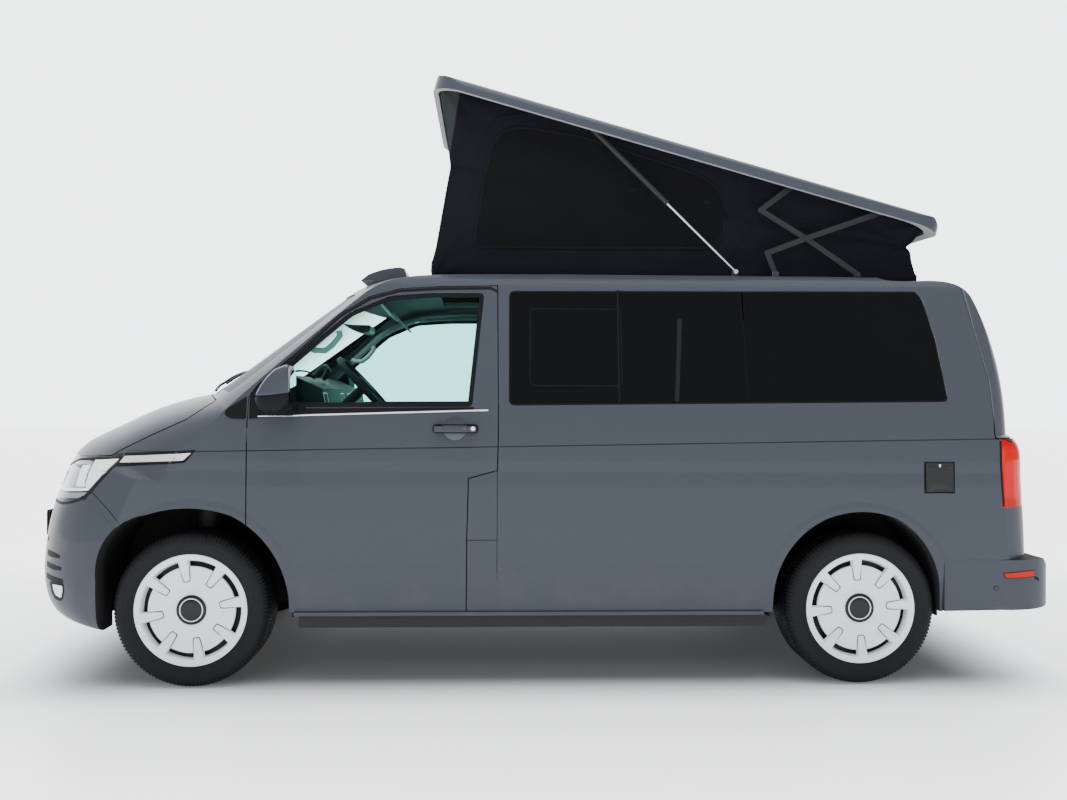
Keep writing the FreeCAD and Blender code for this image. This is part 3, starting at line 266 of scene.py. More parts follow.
FOCAL_PIXELS = 1046.33  # the solved focal length on the photograph's width
PHOTO_WIDTH = 1067
camera = placed("camera", bpy.data.cameras.new("camera"))
bpy.context.scene.camera = camera
camera.data.sensor_width = 36
camera.data.lens = 36 * FOCAL_PIXELS / PHOTO_WIDTH
ahead = Vector((0.040128, 0.999194, -0.000638)).normalized()
level = ahead.cross(Vector((0, 0, 1))).normalized()
upward = level.cross(ahead)
roll = 0.00482
right = level * math.cos(roll) + upward * math.sin(roll)
upward = right.cross(ahead)
camera.matrix_world = Matrix(
    [
        (right.x, upward.x, -ahead.x, -0.2198), (right.y, upward.y, -ahead.y, -5.6102),
        (right.z, upward.z, -ahead.z, 1.2842), (0, 0, 0, 1),
    ]
)


# Painted body
# Pressed steel panels in dark blue-grey metallic paint under clear lacquer, with a fine crease along the waist,
# its line darkened in colour as painted shade, a soft one above the sill and rolled lips round the wheel
# arches. Inside they carry grey linings.
def wear(material, *nodes):
    """The CAD nodes take the material on all their slots."""
    for name in nodes:
        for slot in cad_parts[name].material_slots:
            slot.material = material


paint = Finish("body_paint")
flakes = paint.node("ShaderNodeTexVoronoi", {}, {"Vector": paint.place, "Scale": 900.0}, "Color")
flake = paint.node("ShaderNodeSeparateColor", {}, {0: flakes})
along = paint.axis(0)
across = paint.axis(1)
height = paint.axis(2)
facing = paint.node("ShaderNodeTexCoord", {}, {}, "Normal")
facing_x = paint.node("ShaderNodeSeparateXYZ", {}, {0: facing}, 0)
facing_y = paint.node("ShaderNodeSeparateXYZ", {}, {0: facing}, 1)
facing_z = paint.node("ShaderNodeSeparateXYZ", {}, {0: facing}, 2)
outward = facing_x * along * 0.25 + facing_y * across + facing_z * (height - 1.15) * 0.6
lined = 1 - outward.ramp(-0.14, -0.05)
side_face = (facing_y.math("ABSOLUTE")).ramp(0.55, 0.8)
waist = 1.0486 + (along + 1.45) * 0.0187
# The waist crease's mask also darkens the paint's colour nearly to black along it: painted shade in the crease.
groove = (1 - (height - waist).math("ABSOLUTE") / 0.0035).clamped() * side_face
sill_fade = along.ramp(-1.35, -1.15) * (1 - along.ramp(0.85, 1.05))
sill_crease = height.ramp(0.500, 0.545) * sill_fade * side_face


def arch_lip(x, z, radius):
    """The rolled edge of a wheel arch, from the distance to the arch's middle."""
    reach = ((along - x) * (along - x) + (height - z) * (height - z)) ** 0.5
    return (1 - reach.ramp(radius + 0.012, radius + 0.045)) * side_face


lips = arch_lip(FRONT + 0.012, 0.370, 0.427) + arch_lip(REAR - 0.009, 0.370, 0.415)
tone = paint.mix(0.25 * flake, (0.044, 0.050, 0.062), (0.082, 0.092, 0.110))
low = 1 - height.ramp(0.3, 0.62)
dust = (low * paint.noise(7, 4).ramp(0.42, 0.75) * 0.25).clamped()
lining = paint.mix(height.ramp(1.17, 1.22), (0.030, 0.030, 0.032), (0.34, 0.35, 0.35))
relief = paint.bump(paint.noise(160, 2), 0.000012)
relief = paint.bump(1 - groove * 0.9, 0.003, relief)
relief = paint.bump(sill_crease, 0.005, relief)
relief = paint.bump(lips.clamped(), 0.004, relief)
body_paint = paint.coat(
    Base_Color=paint.mix(
        lined, paint.mix(groove, paint.mix(dust, tone, (0.10, 0.10, 0.105)), (0.004, 0.004, 0.005)), lining,
    ),
    Metallic=0.15 * (1 - dust) * (1 - lined),
    Roughness=0.40 + 0.05 * flake + 0.3 * dust + 0.35 * lined,
    Specular_IOR_Level=0.06,
    Coat_Weight=(0.22 - 0.16 * dust) * (1 - lined),
    Coat_Roughness=0.03,
    Coat_IOR=1.35,
    Normal=relief,
)
wear(
    body_paint, "bonnet", "front_wings", "front_bumper", "screen_frame", "body_side_left", "body_side_right",
    "sliding_door", "tailgate", "rear_corners", "rear_bumper", "front_door_left", "front_door_right",
    "roof_panel", "roof_shell", "roof_lip",
)


# Trim that lies on the panels is set on their own surface, found by looking at them from one side.
def skin_of(*names):
    """The CAD nodes' surfaces as one tree for rays."""
    points = []
    faces = []
    for name in names:
        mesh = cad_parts[name].data
        start = len(points)
        points += [v.co.copy() for v in mesh.vertices]
        faces += [[start + k for k in face.vertices] for face in mesh.polygons]
    return BVHTree.FromPolygons(points, faces)


FAR = 4.0  # rays start this far from the van's middle, outside it on every side
DEPTH = 0.93  # how far the walls stand from the van's middle
CORNER_STEPS = 6


def looking(skin, way):
    """Puts (first, second) and a lift on the skin as seen from the side -1 or 1, or from the "front" or
    "rear"."""

    def place(first, second, lift):
        if way in (-1, 1):
            start, ray = Vector((first, way * FAR, second)), Vector((0, -way, 0))
        else:
            turn = -1 if way == "front" else 1
            start, ray = Vector((turn * FAR, first, second)), Vector((-turn, 0, 0))
        spot, normal, _, _ = skin.ray_cast(start, ray)
        if spot is None:
            spot, normal, _, _ = skin.find_nearest(start + ray * (FAR - DEPTH))
        if normal.dot(ray) > 0:
            normal = -normal
        return spot + normal * lift

    return place


def softened(corners, radius):
    """Corners of a closed outline, each rounded."""
    out = []
    count = len(corners)
    for i in range(count):
        here = Vector(corners[i])
        before = Vector(corners[i - 1]) - here
        after = Vector(corners[(i + 1) % count]) - here
        reach = min(radius, before.length * 0.45, after.length * 0.45)
        first = here + before.normalized() * reach
        last = here + after.normalized() * reach
        for k in range(CORNER_STEPS + 1):
            share = k / CORNER_STEPS
            out.append(first.lerp(here, share).lerp(here.lerp(last, share), share))
    return out


def spread(corners, step, closed=True):
    """Points along an outline at about the step."""
    out = []
    count = len(corners)
    for i in range(count if closed else count - 1):
        a = Vector(corners[i])
        b = Vector(corners[(i + 1) % count])
        parts = max(1, round((b - a).length / step))
        out += [a.lerp(b, k / parts) for k in range(parts)]
    return out if closed else out + [Vector(corners[-1])]


def plate(name, outline, place, thick, material, step=0.03, sunk=0.001):
    """A thin plate with a turned edge over a curved panel, inside an outline."""
    work = bmesh.new()
    work.faces.new([work.verts.new((p[0], p[1], 0)) for p in outline])
    for axis in (0, 1):
        low_end = min(p[axis] for p in outline)
        span = max(p[axis] for p in outline) - low_end
        count = max(1, int(span / step))
        across_axis = Vector((1, 0, 0)) if axis == 0 else Vector((0, 1, 0))
        for k in range(1, count):
            everything = work.verts[:] + work.edges[:] + work.faces[:]
            cut = across_axis * (low_end + span * k / count)
            bmesh.ops.bisect_plane(work, geom=everything, plane_co=cut, plane_no=across_axis)
    border = [edge for edge in work.edges if edge.is_boundary]
    skirt = bmesh.ops.extrude_edge_only(work, edges=border)["geom"]
    for item in skirt:
        if isinstance(item, bmesh.types.BMVert):
            item.co.z = -1
    for vert in work.verts:
        vert.co = place(vert.co.x, vert.co.y, thick if vert.co.z > -0.5 else -sunk)
    bmesh.ops.recalc_face_normals(work, faces=work.faces)
    mesh = bpy.data.meshes.new(name)
    work.to_mesh(mesh)
    work.free()
    made = placed(name, mesh)
    mesh.materials.append(material)
    mesh.polygons.foreach_set("use_smooth", [True] * len(mesh.polygons))
    mesh.set_sharp_from_angle(angle=math.radians(40))
    return made


def seal(name, outline, place, width, thick, material, closed=True, sunk=0.001):
    """A strip along an outline, reaching inwards (to the left of its way round) by its width."""
    count = len(outline)
    rows = []
    for i in range(count):
        here = Vector(outline[i]).to_2d()
        ahead = Vector(outline[(i + 1) % count if closed else min(i + 1, count - 1)]).to_2d()
        behind = Vector(outline[i - 1 if closed else max(i - 1, 0)]).to_2d()
        way = (ahead - behind).normalized()
        inward = Vector((-way.y, way.x))
        row = []
        for share, lift in (
            (0, -sunk), (0.06, thick * 0.8), (0.2, thick), (0.8, thick), (0.94, thick * 0.8), (1, -sunk),
        ):
            spot = here + inward * (width * share)
            row.append(place(spot.x, spot.y, lift))
        rows.append(row)
    return solid(name, *lofted(rows, ring=closed), material)


def tube(name, route, radius, material, closed=False):
    """A round bead along points."""
    curve = bpy.data.curves.new(name, "CURVE")
    curve.dimensions = "3D"
    curve.bevel_depth = radius
    curve.bevel_resolution = 3
    line = curve.splines.new("POLY")
    line.points.add(len(route) - 1)
    for point, place in zip(line.points, route):
        point.co = (place[0], place[1], place[2], 1)
    line.use_cyclic_u = closed
    made = placed(name, curve)
    curve.materials.append(material)
    mesh = bpy.data.meshes.new_from_object(made.evaluated_get(bpy.context.evaluated_depsgraph_get()))
    bpy.data.objects.remove(made)
    made = placed(name, mesh)
    for face in mesh.polygons:
        face.use_smooth = True
    return made


def on_van(*pieces, slot="trim_black", body="van"):
    """The pieces ride on one body. The slot is not used."""
    for piece in pieces:
        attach(piece, body)


def here(x, z):
    """A side-view place given in millimetres behind the front axle."""
    return (FRONT + x / 1000, z / 1000)


def places(*pairs):
    return [here(x, z) for x, z in pairs]


def circle(across, up, wide, tall, count):
    """A round outline from its middle and its half width and height."""
    turns = [2 * math.pi * i / count for i in range(count)]
    return [(across + wide * math.cos(turn), up + tall * math.sin(turn)) for turn in turns]


# Moulded black and other plain parts
# Grained and gloss black plastics, arch felt, coated chassis metal and cast iron, for the parts that the body
# carries inside, underneath and in its arches, and the bright trim that other sections use.
def moulded(name, colour, rough, grain, depth):
    plastic = Finish(name)
    skin = plastic.node("ShaderNodeTexVoronoi", {}, {"Vector": plastic.place, "Scale": grain})
    patch = plastic.noise(9, 3)
    light = tuple(min(1, c * 1.5 + 0.004) for c in colour)
    return plastic.coat(
        Base_Color=plastic.mix(patch * 0.6, colour, light),
        Roughness=rough + 0.12 * patch,
        Specular_IOR_Level=0.22,
        Normal=plastic.bump(skin, depth),
    )


black_plastic = moulded("black_plastic", (0.012, 0.012, 0.013), 0.42, 700.0, 0.00012)
gloss_black = moulded("gloss_black", (0.006, 0.006, 0.007), 0.10, 300.0, 0.00001)
felt = moulded("arch_felt", (0.010, 0.010, 0.010), 0.85, 350.0, 0.0006)
chassis = moulded("chassis_coat", (0.016, 0.016, 0.017), 0.55, 120.0, 0.0004)
cast = moulded("cast_iron", (0.09, 0.088, 0.085), 0.6, 220.0, 0.0005)
cab_plastic = moulded("cab_plastic", (0.022, 0.022, 0.024), 0.55, 800.0, 0.0001)
wear(black_plastic, "grille", "hookup_flap", "fuel_tank")
wear(felt, "arch_liners")
wear(chassis, "underbody", "front_subframe", "rear_axle")
wear(cast, "engine_block", "exhaust")
wear(moulded("black_castings", (0.018, 0.018, 0.018), 0.5, 220.0, 0.0004), "knuckle_left", "knuckle_right")
wear(cab_plastic, "dashboard", "steering_wheel", "seat_bases")
silver_trim = Finish("bright_trim")
soft_streaks = silver_trim.noise(40, 3, (1, 1, 8))
bright_trim = silver_trim.coat(
    Base_Color=silver_trim.mix(soft_streaks * 0.4, (0.82, 0.83, 0.85), (0.62, 0.63, 0.66)),
    Metallic=0.55,
    Roughness=0.20 + 0.08 * soft_streaks,
)


# Glass
# Toughened panes flush with the body: green-tinted ahead of the door pillars, and privacy glass, nearly
# black, behind them. Thin black rubber seals run round the panes, and round a sliding pane in the side windows.
cab_glass = Finish("cab_glass")
edge_gloss = cab_glass.node("ShaderNodeFresnel", {}, {"IOR": 1.4})
cab_pane = cab_glass.pane(
    (0.70, 0.92, 0.875),
    edge_gloss * 0.6 + 0.02,
    Base_Color=(0.02, 0.03, 0.03),
    Roughness=0.015,
    Specular_IOR_Level=0.8,
)
screen = Finish("screen_glass")
from_middle = screen.axis(1).math("ABSOLUTE")
border = (from_middle + (1.70 - screen.axis(2)) * 0.10).ramp(0.690, 0.696)
outer = 1 - screen.node("ShaderNodeNewGeometry", {}, {}, "Backfacing")
edge_on = screen.node("ShaderNodeLayerWeight", {}, {"Blend": 0.5}, "Facing").ramp(0.62, 0.84) * outer
screen_pane = screen.pane(
    (0.95, 0.985, 0.97),
    (border + edge_on * 0.92 + 0.03).clamped(),
    Base_Color=screen.mix(edge_on, (0.012, 0.013, 0.015), (0.045, 0.052, 0.064)),
    Roughness=0.06 + 0.4 * edge_on,
    Specular_IOR_Level=0.05,
)
rear_glass = Finish("privacy_glass")
smear = rear_glass.noise(2.2, 3)
rear_pane = rear_glass.pane(
    (0.11, 0.125, 0.125),
    rear_glass.node("ShaderNodeFresnel", {}, {"IOR": 1.4}) * 0.4 + 0.35 + 0.03 * smear,
    Base_Color=(0.004, 0.0045, 0.005),
    Roughness=0.02,
    Specular_IOR_Level=0.35,
)
wear(screen_pane, "windscreen")
wear(cab_pane, "front_door_glass_left", "front_door_glass_right")
wear(rear_pane, "side_windows", "tailgate_glass")
seal_finish = Finish("seal_rubber")
seal_wear = seal_finish.noise(90, 3)
seal_rubber = seal_finish.coat(
    Base_Color=seal_finish.mix(seal_wear * 0.5, (0.004, 0.004, 0.005), (0.010, 0.010, 0.011)),
    Roughness=0.5 + 0.2 * seal_wear,
    Specular_IOR_Level=0.12,
    Normal=seal_finish.bump(seal_wear, 0.00008),
)
SIDE_PANE = places((1402, 1256), (3406, 1281), (3365, 1565), (3317, 1747), (3290, 1793), (1402, 1779))
DOOR_PANE = places(
    (345, 1243), (1238, 1250), (1290, 1768), (1060, 1766), (863, 1752), (683, 1674), (549, 1560), (352, 1376),
)
SLIDING_PANE = places((1496, 1344), (1915, 1344), (1915, 1700), (1496, 1700))
DOORS = {-1: "left", 1: "right"}
door_skin = {}
side_skin = {}
for side, hand in DOORS.items():
    door_skin[side] = looking(skin_of("front_door_" + hand, "front_door_glass_" + hand), side)
    walls = ["body_side_" + hand, "side_windows", "screen_frame", "roof_panel", "front_wings"]
    side_skin[side] = looking(skin_of(*walls + (["sliding_door"] if side > 0 else [])), side)
    on_wall = side_skin[side]
    rim = spread(softened(SIDE_PANE, 0.030), 0.03)
    on_van(seal("pane_seal_" + hand, rim, on_wall, 0.007, 0.0022, seal_rubber))
    inner = spread(softened(SLIDING_PANE, 0.028), 0.03)
    on_van(seal("sliding_pane_" + hand, inner, on_wall, 0.005, 0.0012, seal_rubber))
    divider = spread(places((1904, 1262), (1904, 1786)), 0.03, False)
    on_van(seal("pane_divider_" + hand, divider, on_wall, 0.009, 0.0015, seal_rubber, False))
    rim = spread(softened(DOOR_PANE, 0.026), 0.02)
    band = seal("door_pane_seal_" + hand, rim, door_skin[side], 0.021, 0.003, seal_rubber)
    on_van(band, body="front_door_%s_body" % hand)

# Door frames and belt
# A black strip follows the top and front of each door frame, a black seal and a bright strip run along the belt
# below the glass, the bright strip a painted highlight of the door's shoulder, and black covers fill the corner
# ahead of the window, where the mirror stands.
SAIL_DOOR = places(
    (254, 1192), (345, 1200), (452, 1206), (525, 1222), (453, 1279), (447, 1330), (443, 1410), (428, 1464),
    (352, 1398), (290, 1340), (254, 1296),
)
SAIL_WING = places((143, 1214), (171, 1192), (240, 1191), (240, 1291), (156, 1236))
FRAME_LINE = places(
    (1348, 1801), (1088, 1795), (907, 1784), (772, 1747), (637, 1664), (458, 1495), (289, 1345), (250, 1294),
)
for side, hand in DOORS.items():
    body = "front_door_%s_body" % hand
    sail = plate("sail_" + hand, SAIL_DOOR, door_skin[side], 0.004, seal_rubber)
    line = spread([(x, z - 0.004) for x, z in FRAME_LINE], 0.03, False)
    strip = seal("door_frame_strip_" + hand, line, door_skin[side], 0.012, 0.003, seal_rubber, False)
    belt = spread(places((292, 1199), (1310, 1231)), 0.03, False)
    under = places((300, 1206), (1244, 1236), (1246, 1248), (300, 1236))
    on_van(plate("belt_seal_" + hand, under, door_skin[side], 0.0025, seal_rubber), body=body)
    # The bright strip under the belt seal stands for the highlight on the door's shoulder: a painted highlight.
    belt_highlight = seal("belt_strip_" + hand, belt, door_skin[side], 0.0075, 0.004, bright_trim, False)
    on_van(sail, strip, belt_highlight, body=body)
    tip = plate("sail_tip_" + hand, softened(SAIL_WING, 0.012), side_skin[side], 0.004, seal_rubber)
    on_van(tip)

# Mirrors
# Outside mirrors on the door corners: a body-coloured cap over a black housing and foot, with a flat glass
# facing rearwards.
CAP_OUTLINE = [
    (462, 1300), (304, 1290), (325, 1330), (350, 1368), (391, 1410), (441, 1430), (456, 1424), (466, 1380),
]
CASE_OUTLINE = [(304, 1291), (462, 1301), (466, 1262), (456, 1240), (408, 1212), (345, 1216), (314, 1246)]


def housing(name, outline, side, deep, material):
    """A closed shell through outlines that draw in towards the outer end; its rear face stays flat."""
    loop = spread(softened([Vector(here(x, z)) for x, z in outline], 0.02), 0.012)
    back = max(p[0] for p in loop)
    middle = 1.318
    rows = []
    steps = 14
    for i in range(steps + 1):
        share = i / steps
        round_off = max(0.0, 1 - share ** 7) ** 0.42
        start = min(1, 0.70 + 1.6 * share)
        size = min(1, round_off * start)
        tall = 0.35 + 0.65 * size
        y = side * (0.968 + deep * share)
        rows.append([Vector((back + (p[0] - back) * size, y, middle + (p[1] - middle) * tall)) for p in loop])
    count = len(loop)
    points, faces = lofted(rows, around=True)
    faces.append(tuple(range(count)))
    faces.append(tuple(steps * count + k for k in range(count - 1, -1, -1)))
    made = solid(name, points, faces, material)
    made.data.set_sharp_from_angle(angle=math.radians(35))
    return made


mirror_finish = Finish("mirror_glass")
mirror_glass = mirror_finish.coat(
    Base_Color=(0.72, 0.76, 0.80), Metallic=1.0, Roughness=0.02 + 0.01 * mirror_finish.noise(20, 2),
)
for side, hand in DOORS.items():
    cap = housing("mirror_cap_" + hand, CAP_OUTLINE, side, 0.172, body_paint)
    case = housing("mirror_case_" + hand, CASE_OUTLINE, side, 0.168, seal_rubber)
    glass_points = [
        Vector((FRONT + 0.4675, side * y, z))
        for y, z in softened(
            [(0.985, 1.245), (1.118, 1.262), (1.118, 1.372), (1.075, 1.408), (0.985, 1.402)], 0.025,
        )
    ]
    pane = solid("mirror_pane_" + hand, glass_points, [tuple(range(len(glass_points)))], mirror_glass, False)
    rings = []
    for y, x0, x1, z0, z1 in (
        (0.905, 0.315, 0.470, 1.196, 1.262), (0.94, 0.318, 0.462, 1.206, 1.272),
        (0.975, 0.325, 0.452, 1.214, 1.292), (1.0, 0.33, 0.445, 1.222, 1.30),
    ):
        ring = softened([(x0, z0), (x1, z0), (x1, z1), (x0, z1)], 0.028)
        rings.append([Vector((FRONT + x, side * y, z)) for x, z in ring])
    foot = solid("mirror_foot_" + hand, *lofted(rings, around=True), seal_rubber)
    for made, slot in ((cap, "body_paint"), (case, "trim_black"), (pane, "screen_glass"), (foot, "trim_black")):
        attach(made, "front_door_%s_body" % hand)
        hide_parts("door_mirror_" + hand)


# Side trim
# Bow handles over round dishes in the doors, each dish darker at its top as painted shade and lighter at its
# foot as a painted highlight, with a bright lock cap on the left one. A bright bare strip in a black frame runs
# back from each headlamp, and a black flap covers the mains socket on the left.
dish = Finish("handle_dish")
# The dish's colour is lighter low down as a painted highlight and nearly black at its top as painted shade.
dish_top_shade = dish.axis(2).ramp(1.102, 1.204)
handle_dish = dish.coat(
    Base_Color=dish.mix(dish_top_shade, (0.075, 0.088, 0.11), (0.012, 0.014, 0.02)),
    Metallic=0.3,
    Roughness=0.3 + 0.05 * dish.noise(60, 2),
    Coat_Weight=0.8,
)


def oval(x, z, wide, tall, count=40):
    """A round outline in the side view, its middle, width and height in millimetres."""
    return circle(*here(x, z), wide / 2000, tall / 2000, count)


def door_handle(name, x, side, place, body):
    """The dish, and a black plate round a handle's feet: a painted shadow where the handle meets the door."""
    bowl = plate(name + "_dish", oval(x, 1151, 104, 104), place, 0.0012, handle_dish, 0.015)
    lip = seal(name + "_lip", oval(x, 1151, 112, 112), place, 0.005, 0.0022, body_paint)
    # The black pad round the handle's feet is a painted shadow.
    joint = softened(places((x - 99, 1131), (x + 104, 1131), (x + 104, 1171), (x - 99, 1171)), 0.019)
    pad = plate(name + "_pad", joint, place, 0.003, seal_rubber, 0.02)
    on_van(bowl, lip, pad, slot="body_paint", body=body)


for side, hand in DOORS.items():
    door_handle("handle_" + hand, 1162, side, door_skin[side], "front_door_%s_body" % hand)
    if side < 0:
        lock = plate(
            "lock_cap", oval(1243, 1153, 19, 19, 24), lambda x, z, lift: Vector((x, -0.9735 - lift, z)), 0.002,
            bright_trim, 0.01,
        )
        on_van(lock, slot="body_paint", body="front_door_left_body")
    frame_line = softened(places((-352, 975), (-24, 997), (24, 1054), (-332, 1031)), 0.004)
    backing = plate("strip_frame_" + hand, frame_line, side_skin[side], 0.003, seal_rubber, 0.03)
    face = softened(places((-344, 987), (-30, 1008), (6, 1041), (-330, 1016)), 0.005)
    bar = plate("strip_face_" + hand, face, side_skin[side], 0.0055, bright_trim, 0.03)
    on_van(backing, bar)
    for low, high, start, end, name, material, y in (
        (318, 334, 452, 2556, "sill_flange_", body_paint, 0.928),
        (262, 318, 470, 2572, "sill_edge_", chassis, 0.905),
    ):
        ring = softened(places((start, low), (end, low), (end, high), (start, high)), 0.006)

        def upright(x, z, lift):
            return Vector((x, side * (y + lift), z))

        on_van(plate(name + hand, ring, upright, 0.010, material, 0.2, 0.012))
slider_skin = looking(skin_of("sliding_door"), 1)
door_handle("slider_handle", 1533, 1, slider_skin, "van")
rail_line = spread(places((2500, 1062), (3180, 1062)), 0.05, False)
on_van(seal("slider_rail", rail_line, side_skin[1], 0.022, 0.004, seal_rubber, False))
flap_skin = looking(skin_of("hookup_flap"), -1)
lid = softened(places((3289, 1004), (3290, 876), (3330, 872), (3376, 872), (3416, 877), (3416, 1004)), 0.008)
lid_plate = plate("hookup_lid", lid, flap_skin, 0.006, black_plastic, 0.02)
lip_line = spread(places((3300, 990), (3352, 980), (3406, 990)), 0.01, False)
lip = seal("hookup_lip", lip_line, flap_skin, 0.005, 0.009, black_plastic, False)
pin_head = plate("hookup_lock", oval(3352, 993, 9, 13, 14), flap_skin, 0.0085, bright_trim, 0.01)
on_van(lid_plate, lip, pin_head, body="hookup_flap_body")


# Headlamps
# Gloss black housings wrap round the nose. Silver reflectors and white light guides lie on them as thin plates,
# with two dark projector wells nearer the grille, a grey turn-signal strip below and black lines as frames.
# Part of each reflector is a whiter copy of it that glows faintly, a painted reflection, and the light guides
# and the white strip along the lens's foot glow faintly as painted light though the lamps are off.
wear(gloss_black, "headlamps")
mirror_bowl = Finish("reflector")
facets = mirror_bowl.node(
    "ShaderNodeTexWave", {"bands_direction": "Z"}, {"Vector": mirror_bowl.place, "Scale": 26.0},
)
reflector = mirror_bowl.coat(
    Base_Color=mirror_bowl.mix(facets * 0.35, (0.42, 0.44, 0.47), (0.24, 0.26, 0.29)),
    Metallic=0.4,
    Roughness=0.24 + 0.12 * facets,
    Coat_Weight=0.6,
)
# A whiter, faintly glowing copy of the reflector: a painted reflection in the bowl.
bright_finish = Finish("bright_bowl")
steps = bright_finish.node(
    "ShaderNodeTexWave", {"bands_direction": "Z"}, {"Vector": bright_finish.place, "Scale": 40.0},
)
bright_bowl = bright_finish.coat(
    Base_Color=bright_finish.mix(steps * 0.25, (0.88, 0.90, 0.92), (0.70, 0.72, 0.75)),
    Roughness=0.2 + 0.1 * steps,
    Coat_Weight=0.6,
    Emission_Color=(1.0, 1.0, 1.0),
    Emission_Strength=0.12,
)
# The light guides' glow is painted light: the lamps are off.
guide_finish = Finish("light_guide")
light_guide = guide_finish.coat(
    Base_Color=(0.90, 0.91, 0.92),
    Roughness=0.15 + 0.1 * guide_finish.noise(60, 2),
    Emission_Color=(1.0, 1.0, 1.0),
    Emission_Strength=0.35,
)
under_lens = moulded("signal_lens", (0.20, 0.21, 0.23), 0.15, 260.0, 0.0001)
NOSE_MIDDLE = Vector((FRONT - 0.34, 0.52, 0))
lamp_skin = skin_of("headlamps", "front_bumper", "front_wings", "bonnet", "grille")


def on_corner(side):
    """Places by (turn round the corner in metres of arc, height); the turn grows from the front to the side."""

    def place(turn, z, lift):
        angle = turn / 0.5
        way = Vector((-math.cos(angle), side * math.sin(angle), 0))
        middle = Vector((NOSE_MIDDLE.x, side * NOSE_MIDDLE.y, z))
        spot, normal, _, _ = lamp_skin.ray_cast(middle + way * 1.4, -way)
        if spot is None:
            return middle + way * (0.42 + lift)
        if normal.dot(way) < 0:
            normal = -normal
        return spot + normal * lift

    return place


def corner_turn(x, z):
    """The turn round the corner of a side-view place on the left side."""
    spot, _, _, _ = lamp_skin.ray_cast(Vector((FRONT + x / 1000, -3, z / 1000)), Vector((0, 1, 0)))
    if spot is None:
        spot = Vector((FRONT + x / 1000, -0.6, z / 1000))
    return 0.5 * math.atan2(-spot.y - NOSE_MIDDLE.y, NOSE_MIDDLE.x - spot.x)


def corner_outline(*pairs):
    return [(corner_turn(x, z), z / 1000) for x, z in pairs]


INNER_TURN = -0.035
TOP_EDGE = [(INNER_TURN, 0.964)] + corner_outline(
    (-645, 979), (-583, 1001), (-497, 1010), (-404, 1015), (-345, 1019),
)
LENS = [(INNER_TURN, 0.858)] + corner_outline(
    (-655, 858), (-600, 864), (-526, 869), (-470, 872), (-394, 947), (-349, 1016), (-404, 1011), (-497, 1006),
    (-583, 997), (-645, 975),
) + [(INNER_TURN, 0.960)]
BRIGHT = corner_outline((-503, 882), (-470, 876), (-396, 949), (-353, 1013), (-404, 1009), (-474, 1004))
CHROME = [(INNER_TURN, 0.848)] + corner_outline(
    (-655, 851), (-600, 855), (-526, 861), (-476, 867), (-474, 879), (-526, 872), (-600, 866), (-652, 863),
) + [(INNER_TURN, 0.860)]
SIGNAL = [(INNER_TURN, 0.806)] + corner_outline(
    (-638, 808), (-580, 818), (-537, 829), (-500, 844), (-483, 859), (-540, 853), (-600, 847), (-657, 843),
) + [(INNER_TURN, 0.842)]
GUIDE = corner_outline(
    (-558, 889), (-560, 879), (-489, 883), (-489, 895), (-507, 896), (-490, 976), (-542, 973),
)
SPLIT = corner_outline((-477, 1004), (-486, 968), (-495, 932), (-503, 899), (-500, 876))
UNDER = [(INNER_TURN, 0.800)] + corner_outline(
    (-640, 802), (-585, 812), (-536, 824), (-500, 842), (-465, 864), (-392, 942), (-337, 1021),
)
for side, hand in DOORS.items():
    place = on_corner(side)
    parts = [
        plate("lamp_bowl_" + hand, spread(LENS, 0.03), place, 0.0008, reflector, 0.03),
        plate("lamp_bright_" + hand, spread(BRIGHT, 0.02), place, 0.0014, bright_bowl, 0.02),
        plate("lamp_signal_" + hand, spread(SIGNAL, 0.03), place, 0.0012, under_lens, 0.03),
        plate("lamp_guide_" + hand, GUIDE, place, 0.0022, light_guide, 0.02),
        plate("lamp_chrome_" + hand, spread(CHROME, 0.03), place, 0.0016, light_guide, 0.03),
        seal("lamp_split_" + hand, spread(SPLIT, 0.01, False), place, 0.008, 0.0026, seal_rubber, False),
        seal("lamp_top_" + hand, spread(TOP_EDGE, 0.02, False), place, -0.013, 0.0022, seal_rubber, False),
        seal("lamp_under_" + hand, spread(UNDER, 0.02, False), place, -0.012, 0.0022, seal_rubber, False),
    ]
    for k, turn in enumerate((INNER_TURN + 0.045, INNER_TURN + 0.112)):
        for label, wide, tall, lift, finish in (
            ("well", 0.033, 0.040, 0.0012, gloss_black), ("lens", 0.026, 0.030, 0.0018, bright_trim),
            ("eye", 0.019, 0.023, 0.0024, gloss_black),
        ):
            ring = circle(turn, 0.912, wide, tall, 28)
            parts.append(plate("lamp_%s_%d_%s" % (label, k, hand), ring, place, lift, finish, 0.012))
    on_van(*parts, slot="lamp_clear")

